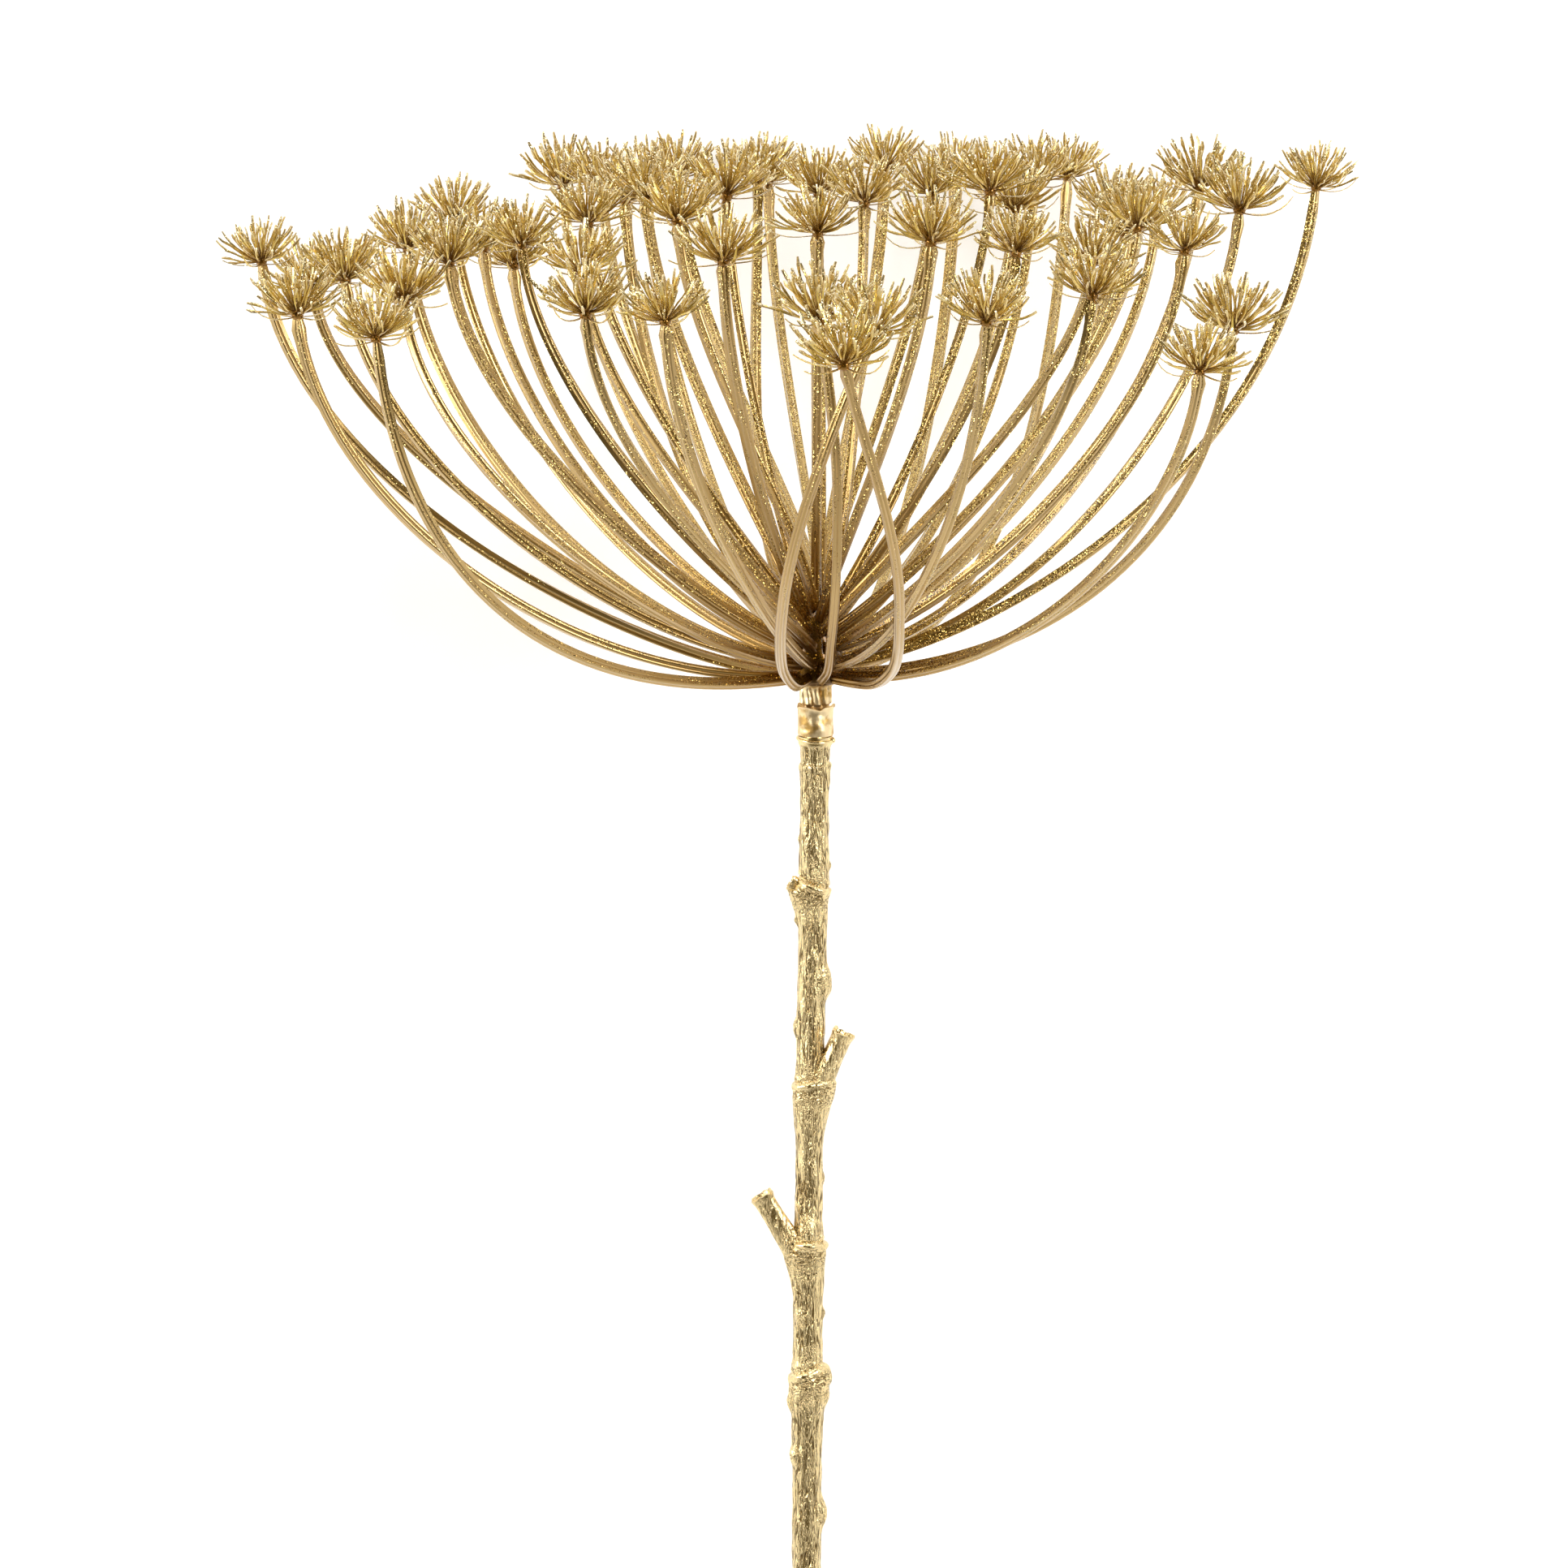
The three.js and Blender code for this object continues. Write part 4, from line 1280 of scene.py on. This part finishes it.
@dataclass
class Brush:
    """The head's brush: curved glittery filaments round a core, over a few thin bracts."""

    core: float = 1.4
    # painted shade on the core, in the head's middle
    core_shade: float = 0.95
    missed: float = 0.3  # share of the flake cells that the glitter misses
    rows: tuple[tuple[int, float, float, float], ...] = (
        (13, 8, 34, 12.8), (16, 19, 30, 13.0), (15, 31, 23, 13.0), (13, 44, 16, 12.8),
        (9, 58, 9, 12.5), (5, 74, 3, 12.2),
    )  # fmt: skip  # filaments in the row, rise where they leave, curl upwards, and reach
    stray: Pair = (-0.5, 0.5)  # from its even bearing, in steps of the row
    tilts: Pair = (-7, 9)
    curls: Pair = (0.4, 1.5)
    thickness: float = 0.25
    sides: int = 5
    rings: int = 9
    lengths: Pair = (0.72, 1.0)
    sways: Pair = (-18, 18)
    wave: float = 0.26
    wave_turns: Pair = (7.5, 8.7)  # to the side and up, in radians along a filament
    girths: tuple[float, ...] = (0.6, 0.65, 0.75, 0.88, 0.95, 1.0, 1.0, 1.05, 1.25, 0.9)
    girth_drawn: Pair = (0.8, 1.2)
    knobs: Pair = (0.75, 1.25)
    dullest: float = 0.5
    dull_curve: float = 1.5
    root_shade: Pair = (0.9, 0.18)  # painted shade in the head's middle: at its root, and how much less at each ring
    pale_step: float = 0.3
    pale_rings: int = 2
    bracts: int = 4
    bract_faces: tuple[int, int] = (6, 7)  # round it and along it
    bract_reach: Pair = (0.6, 0.92)
    bract_droop: Pair = (-12, 4)
    bract_lift: Pair = (10, 30)
    bract_width: Pair = (0.42, 0.06)
    bract_widest: Triple = (0.8, 0.2, 0.97)  # what turns a share along it to a half wave
    bract_thickness: float = 0.15
    bract_root: float = 0.8
    bract_under: float = 0.6
    # painted shade on the bracts under the filaments, less along them
    bract_shade: float = 0.6

    def filament(
        self, rng: random.Random, rise: float, curl: float, reach: float, bearing: float
    ) -> bmesh.types.BMesh:
        """One filament: slim at its root, wavy, knobbly with glitter, and ragged at its tip.

        Args:
            rng: The seeded draw.
            rise: Where it leaves the core, in degrees above the level.
            curl: How much it turns up by its tip, in degrees.
            reach: Its longest length, in millimetres.
            bearing: Its bearing, in radians.

        Returns:
            Its bmesh, about the head's origin.
        """
        inside = self.core * 0.5
        points = [direction(bearing, math.radians(rise)) * inside]
        step = (reach * rng.uniform(*self.lengths) - inside) / self.rings
        sway, phase = rng.uniform(*self.sways), rng.uniform(0, math.tau)
        side = direction(bearing + math.pi / 2, 0)
        across, upwards = self.wave_turns
        for i in range(self.rings):
            share = (i + 0.5) / self.rings
            turn = bearing + math.radians(sway * share)
            course = direction(turn, math.radians(rise + curl * share))
            weave = side * math.sin(phase + across * share) + UP * math.cos(phase + upwards * share)
            points.append(points[-1] + course * step + weave * self.wave * share)
        frames = path_frames(points, side)
        girths = [girth * rng.uniform(*self.girth_drawn) for girth in self.girths]
        dull = rng.uniform(0, self.dullest) ** self.dull_curve
        shade, fall = self.root_shade
        bm = tube(self.sides, self.rings)
        tone = bm.verts.layers.float.new("shade")
        tip = bm.verts.layers.float.new("pale")
        for vertex in bm.verts:
            ring = round(vertex.co.z * self.rings)
            angle = bearing_of(vertex.co)
            a, b, _ = frames[ring]
            out = a * math.cos(angle) + b * math.sin(angle)
            knobs = girths[ring] * rng.uniform(*self.knobs)
            vertex.co = points[ring] + out * self.thickness * knobs
            vertex[tone] = max(dull, shade - fall * ring)
            vertex[tip] = self.pale_step * max(0, ring - self.rings + self.pale_rings)
        return bm

    def bract(self, rng: random.Random, bearing: float) -> bmesh.types.BMesh:
        """A thin flat bract that hangs out under the filaments.

        Args:
            rng: The seeded draw.
            bearing: Its bearing, in radians.

        Returns:
            Its bmesh, about the head's origin.
        """
        bm = tube(*self.bract_faces)
        reach = self.rows[0][3] * rng.uniform(*self.bract_reach)
        droop = math.radians(rng.uniform(*self.bract_droop))
        lifted = math.radians(rng.uniform(*self.bract_lift))
        tone = bm.verts.layers.float.new("shade")
        side = direction(bearing + math.pi / 2, 0)
        width, least = self.bract_width
        slope, start, end = self.bract_widest
        for vertex in bm.verts:
            share = vertex.co.z
            wide = width * math.sin(math.pi * min(share * slope + start, end)) + least
            lift = droop + lifted * share * share
            out = direction(bearing, lift) * (self.bract_root + reach * share)
            angle = bearing_of(vertex.co)
            thick = UP * self.bract_thickness * math.sin(angle)
            middle = out - UP * self.bract_under
            vertex.co = middle + side * wide * math.cos(angle) + thick
            vertex[tone] = max(0.0, self.bract_shade - share)
        return bm

    def build(self, seed: int) -> bpy.types.Mesh:
        """A whole brush about the origin, opening towards +Z, to be copied to heads.

        Args:
            seed: The draw's start.

        Returns:
            Its mesh, with the filaments' finish as material 1.
        """
        rng = random.Random(seed)
        bm = bmesh.new()
        bmesh.ops.create_icosphere(bm, subdivisions=2, radius=self.core)
        spread(bm, "shade", self.core_shade)
        for count, rise, curl, reach in self.rows:
            first = rng.uniform(0, math.tau)
            for i in range(count):
                bearing = first + (i + rng.uniform(*self.stray)) * math.tau / count
                tilt = rise + rng.uniform(*self.tilts)
                bend = curl * rng.uniform(*self.curls)
                join(bm, self.filament(rng, tilt, bend, reach, bearing))
        for i in range(self.bracts):
            join(bm, self.bract(rng, i * math.tau / self.bracts + rng.uniform(*self.stray)))
        spread(bm, "bare", self.missed)
        for face in bm.faces:
            face.material_index = 1
        mesh = bpy.data.meshes.new(f"brush_{seed}")
        bm.to_mesh(mesh)
        bm.free()
        return mesh


@dataclass
class Umbel:
    """The 55 umbellets: grooved rays that fan out of the hub in whorls, each with its head."""

    hub: Hub
    sunk: float = 0.3  # how far a ray goes into the hub, and stops under its head
    leaves: float = 9  # how far a bent ray runs straight out of the hub
    lean_at_rim_deg: float = 6
    rim_radius: float = 128
    head_tilt_deg: float = 5
    tilt_seed: int = 7
    draws_per_brush: int = 46  # the part's own draws for a head after its tilt
    seed: int = 5
    brushes: int = 8
    head_sizes: Pair = (1.04, 1.22)
    splayed_size: float = 1.28
    head_reach: float = 13.2
    ray_steps: int = 40
    section: tuple[float, ...] = (1.38, 1.32, 1.19, 1.08, 0.95, 1.08, 1.19, 1.32)  # a quarter
    seam: float = 0.26  # how far the mould's flash stands off one corner
    twist_deg: float = 70  # the most that a ray twists, either way
    thick_at_hub: float = 1.08
    thick_at_head: float = 0.96
    collar: Triple = (0.3, 2.6, 1.9)  # a ragged collar's height, how far down, and its length
    ragged: float = 0.6
    ragged_scale: Pair = (1.5, 0.4)  # round the ray and along it
    tip: Pair = (0.3, 1.1)  # how much thinner it ends, and over what length
    bare_at_left: float = 0.6  # the glitter was thrown from the right
    bare_patches: Pair = (0.3, 0.05)  # how bare they are, and how many in a millimetre
    # painted shade on the rays near the hub, where they crowd in on one another
    hub_shade: float = 0.75
    hub_shade_reach: float = 34  # from a ball of the hub's radius at hub_shade_centre up it
    hub_shade_centre: float = 8
    grain_step: float = 0.07  # of the grain attribute, in a millimetre along the ray

    def seat(self, place: float, bearing: float) -> tuple[Vector, Vector]:
        """A seat for a ray on the hub's dome.

        Args:
            place: How far up the dome it is, from 0 at its rim to a right angle at its top.
            bearing: Its bearing, in radians.

        Returns:
            The point, and the direction that the dome faces there.
        """
        ring = self.hub.radius * math.cos(place)
        point = Vector(
            (ring * math.cos(bearing), ring * math.sin(bearing), self.hub.height * math.sin(place))
        )
        rise = math.atan2(math.sin(place) / self.hub.height, math.cos(place) / self.hub.radius)
        return point, direction(bearing, rise)

    def phase(self, heads: tuple[Head, ...]) -> float:
        """The bearing of a whorl's first ray, turned so that all point nearest their heads.

        Args:
            heads: The whorl's heads.

        Returns:
            The bearing, in radians.
        """
        across = depth = 0.0
        for i, head in enumerate(heads):
            first = head.bend[0] if head.bend else head.at
            miss = bearing_of(Vector(first)) - i * math.tau / len(heads)
            across += math.cos(miss)
            depth += math.sin(miss)
        return math.atan2(depth, across)

    def head_axis(self, at: Vector) -> Vector:
        """The axis that a head stands on: it leans outwards at the rim."""
        lean = math.radians(self.lean_at_rim_deg) * at.xy.length / self.rim_radius
        return direction(bearing_of(at), math.pi / 2 - lean)

    def course(self, whorl: Whorl, head: Head, bearing: float) -> list[Vector]:
        """Points along a ray, from its seat on the hub to its head.

        Args:
            whorl: The ray's whorl.
            head: Its head.
            bearing: Where it leaves the hub.

        Returns:
            Evenly counted points, one more than the ray's steps.
        """
        point, facing = self.seat(math.radians(whorl.place_deg), bearing)
        rise = whorl.rise_deg if head.rise_deg is None else head.rise_deg
        leaving = direction(bearing, math.radians(rise))
        start = point - facing * self.sunk
        at = Vector(head.at)
        axis = self.head_axis(at)
        end = at - axis * self.sunk
        shares = [i / self.ray_steps for i in range(self.ray_steps + 1)]
        if head.bend:
            near = start + leaving * self.leaves
            return catmull_rom([start, near, *map(Vector, head.bend), end], shares)
        length = (end - start).length
        out = start + leaving * (head.out or whorl.out) * length
        back = end - axis * (head.back or whorl.back) * length
        return [bezier(start, out, back, end, t) for t in shares]

    def head_growth(self, bench: Bench, head: Head, rng: random.Random) -> Matrix:
        """How a head outgrows its brush, as far as the solids' box leaves room for it.

        Args:
            bench: What holds the solids' box.
            head: The head. The three on bent rays are splayed widest.
            rng: The seeded draw.

        Returns:
            Its growth in plan and in height as the flower lies, turned to the flower's axes.
        """
        drawn = rng.uniform(*self.head_sizes)
        wanted = self.splayed_size if head.bend else drawn
        place = bench.matrix @ Vector(head.at)
        sides = [*(place - bench.low).xy, *(bench.high - place).xy]
        plan, height = (
            max(1.0, min(wanted, room / MM / self.head_reach))
            for room in (min(sides), (bench.high - place).z)
        )
        laid = bench.matrix.to_3x3().normalized()
        grown = laid.inverted() @ Matrix.Diagonal((plan, plan, height)) @ laid
        return grown.to_4x4()

    def ray(
        self, points: list[Vector], bare: float, dull: float, rng: random.Random
    ) -> bmesh.types.BMesh:
        """A rod along a course: four corners, a groove in each face and a thin seam.

        Args:
            points: The course.
            bare: How far the glitter missed it.
            dull: How far it is browner all along.
            rng: The seeded draw.

        Returns:
            Its bmesh, open at neither end.
        """
        count = len(self.section) * 4
        bm = tube(count, self.ray_steps)
        shade = bm.verts.layers.float.new("shade")
        missed = bm.verts.layers.float.new("bare")
        grain = bm.verts.layers.float_vector.new("grain")
        frames = path_frames(points, UP.cross(points[-1] - points[0]).normalized())
        first = rng.uniform(0, math.tau)
        twist = math.radians(rng.uniform(-self.twist_deg, self.twist_deg))
        collar, collar_at, collar_length = self.collar
        round_it, along_it = self.ragged_scale
        thinner, thinner_length = self.tip
        barer, patches = self.bare_patches
        for vertex in bm.verts:
            share = vertex.co.z
            ring = round(share * self.ray_steps)
            angle = bearing_of(vertex.co)
            corner = round(angle / math.tau * count) % count
            left = (points[-1] - points[ring]).length
            grown = self.section[corner % len(self.section)] + self.seam * (corner == 0)
            grown *= lerp(self.thick_at_hub, self.thick_at_head, share)
            torn = noise.noise(Vector((angle * round_it, left * along_it, first)))
            swelling = collar * bell(left - collar_at, collar_length) * (1 + self.ragged * torn)
            grown *= 1 + swelling - thinner * bell(left, thinner_length)
            turn = angle + first + twist * share
            a, b, _ = frames[ring]
            vertex.co = points[ring] + (a * math.cos(turn) + b * math.sin(turn)) * grown
            # Painted shade near the hub.
            away = (points[ring] - UP * self.hub_shade_centre).length - self.hub.radius
            hub_shade = self.hub_shade * bell(max(0.0, away), self.hub_shade_reach)
            vertex[shade] = max(hub_shade, dull)
            patch = noise.noise(points[ring] * patches + Vector((first, 0, 0)))
            vertex[missed] = bare + barer * max(0.0, patch)
            onward = first + self.grain_step * left
            vertex[grain] = Vector((math.cos(angle), math.sin(angle), onward))
        return bm

    def build(
        self, bench: Bench, on_rays: GlitterGold, on_heads: GlitterGold
    ) -> list[bpy.types.Object]:
        """Makes the umbellets, one piece each.

        Args:
            bench: What makes a shape a piece.
            on_rays: The rays' finish.
            on_heads: The filaments' finish.

        Returns:
            The pieces, in the order of their solids' names.
        """
        materials = [on_rays.build(bench.lie), on_heads.build(bench.lie)]
        brushes = [Brush().build(seed) for seed in range(self.brushes)]
        draw = seeded(self.tilt_seed)
        rng = random.Random(self.seed)
        made: list[bpy.types.Object] = []
        for whorl in WHORLS:
            phase = self.phase(whorl.heads)
            for i, head in enumerate(whorl.heads):
                bearing = phase + i * math.tau / len(whorl.heads)
                at = Vector(head.at)
                swing = next(draw) * math.tau
                tilt = direction(swing, math.pi / 2 - math.radians(self.head_tilt_deg) * next(draw))
                for _ in range(self.draws_per_brush):
                    next(draw)
                axis = (self.head_axis(at) + tilt).normalized()
                bare = max(head.bare, self.bare_at_left * min(max(-at.x / self.rim_radius, 0), 1))
                bm = self.ray(self.course(whorl, head, bearing), bare, head.bare / 2, rng)
                whole = len(bm.verts)
                bm.from_mesh(rng.choice(brushes))
                bm.verts.ensure_lookup_table()
                turn = UP.rotation_difference(axis) @ Quaternion(UP, rng.uniform(0, math.tau))
                place = Matrix.Translation(at) @ self.head_growth(bench, head, rng)
                place @= turn.to_matrix().to_4x4()
                bmesh.ops.transform(bm, matrix=place, verts=bm.verts[whole:])
                node = f"umbellet_{len(made) + 1:02d}"
                made.append(bench.piece(bm, f"gilded_{node}", materials, Slot.GLITTER, [node]))
        for mesh in brushes:
            bpy.data.meshes.remove(mesh)
        return made


# ------------------------------------------------------------------ studio


@dataclass(frozen=True)
class Softbox:
    """A soft white light."""

    name: str
    at: Triple  # from the spot on the floor under the umbel, in metres
    size: float  # in metres
    power: float  # in watts


@dataclass
class Studio:
    """A pale floor, soft lights round it, a dim ceiling, and a camera straight above.

    The ceiling is dimmer than the walls, so that the gold has dark bands to reflect.
    """

    lie: Lie
    camera_height: float = 3.0
    aim: Pair = (-0.0078, -0.0262)  # from the hub's foot, in metres
    view_width: float = 0.3864  # at the hub's height, in metres
    sensor: float = 36
    clip: float = 20
    floor_reach: float = 6
    floor_colour: str = "fcfbf9"
    floor_roughness: float = 0.9
    glow_colour: str = "ffffff"
    glow: float = 0.24  # a light table, which keeps the shadows faint
    wall: str = "faf9f8"
    ceiling: str = "4e421c"
    dims_between: Pair = (0.22, 0.82)  # the rise of the walls' end and the ceiling's start
    boxes: tuple[Softbox, ...] = (
        Softbox("left_box", (-2.1, 0.3, 1.2), 1.2, 36),
        Softbox("right_box", (1.15, 0.1, 1.45), 0.7, 17.5),
        Softbox("back_box", (-0.2, 1.7, 1.2), 1.0, 14),
    )

    def floor(self) -> None:
        """Makes the floor, of matt white paper."""
        bm = bmesh.new()
        bmesh.ops.create_grid(bm, x_segments=1, y_segments=1, size=self.floor_reach)
        mesh = bpy.data.meshes.new("floor")
        bm.to_mesh(mesh)
        bm.free()
        paper = bpy.data.materials.new("floor_paper")
        n = Nodes(paper)
        shader = n.add(
            "BsdfPrincipled",
            {
                "Base Color": linear(self.floor_colour),
                "Roughness": self.floor_roughness,
                "Emission Color": linear(self.glow_colour),
                "Emission Strength": self.glow,
            },
        )
        n.add("OutputMaterial", {"Surface": shader})
        mesh.materials.append(paper)
        made = bpy.data.objects.new("floor", mesh)
        bpy.context.scene.collection.objects.link(made)
        made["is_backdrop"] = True

    def light(self, box: Softbox, target: Vector) -> None:
        """Makes one soft light.

        Args:
            box: The light.
            target: What it faces.
        """
        lamp = bpy.data.lights.new(box.name, "AREA")
        lamp.size, lamp.energy = box.size, box.power
        stand = bpy.data.objects.new(box.name, lamp)
        bpy.context.scene.collection.objects.link(stand)
        stand.location = Vector((target.x, target.y, 0)) + Vector(box.at)
        stand.rotation_euler = (target - stand.location).to_track_quat("-Z", "Y").to_euler()

    def sky(self) -> None:
        """Makes the walls and the ceiling as a world that dims and warms overhead."""
        world = bpy.data.worlds.new("studio")
        n = Nodes(world)
        towards = n.add("TexCoord").outputs["Generated"]
        rise = n.add("SeparateXYZ", {0: towards}).outputs["Z"]
        start, end = self.dims_between
        span = {"Value": rise, "From Min": start, "From Max": end}
        fade = n.add("MapRange", span, interpolation_type="SMOOTHSTEP")
        tones = {6: linear(self.wall), 7: linear(self.ceiling)}
        room = n.add("Mix", {"Factor": fade} | tones, data_type="RGBA")
        n.add("OutputWorld", {"Surface": n.add("Background", {"Color": room})})
        bpy.context.scene.world = world

    def camera(self, foot: Vector) -> None:
        """Makes the camera, which looks straight down.

        Args:
            foot: The hub's foot, in metres.
        """
        lens = bpy.data.cameras.new("camera")
        lens.sensor_width = self.sensor
        lens.lens = self.sensor * self.camera_height / self.view_width
        lens.clip_end = self.clip
        camera = bpy.data.objects.new("camera", lens)
        bpy.context.scene.collection.objects.link(camera)
        camera.location = foot + Vector((*self.aim, self.camera_height))
        bpy.context.scene.camera = camera

    def build(self) -> None:
        """Makes the floor, the world, the lights and the camera."""
        foot = self.lie.foot()
        self.floor()
        self.sky()
        for box in self.boxes:
            self.light(box, foot)
        self.camera(foot)
        bpy.context.scene.view_settings.view_transform = "Standard"


def main() -> None:
    """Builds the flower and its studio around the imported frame."""
    logging.basicConfig(level=logging.INFO, format="%(name)s %(message)s")
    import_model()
    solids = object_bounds()
    lie = Lie()
    bench = Bench(lie, *solids)
    pieces = [Twig().build(bench, BarkGold())]
    lacquer = SleeveGold().build()
    pieces.append(Ferrule().build(bench, lacquer))
    hub = Hub()
    # The hub's dome is painted with shade of this colour.
    pieces.append(hub.build(bench, GlitterGold("hub_gold", shade="5f4110"), lacquer))
    # The heads' own paint, with their painted shade, glints and dark reflections.
    on_heads = GlitterGold(
        "filament_gold",
        paint="dcbc58",
        flake_glint="fff8d2",
        flake_dark_reflection="866016",
        shade="875a04",
        metallic=0.82,
        paint_roughness=0.2,
        coat=0.55,
    )
    pieces += Umbel(hub).build(bench, GlitterGold("glitter_gold"), on_heads)
    for piece in pieces:
        log.info("%s: %d faces", piece.name, len(piece.data.polygons))
    Studio(lie).build()


if __name__ == "__main__":
    main()
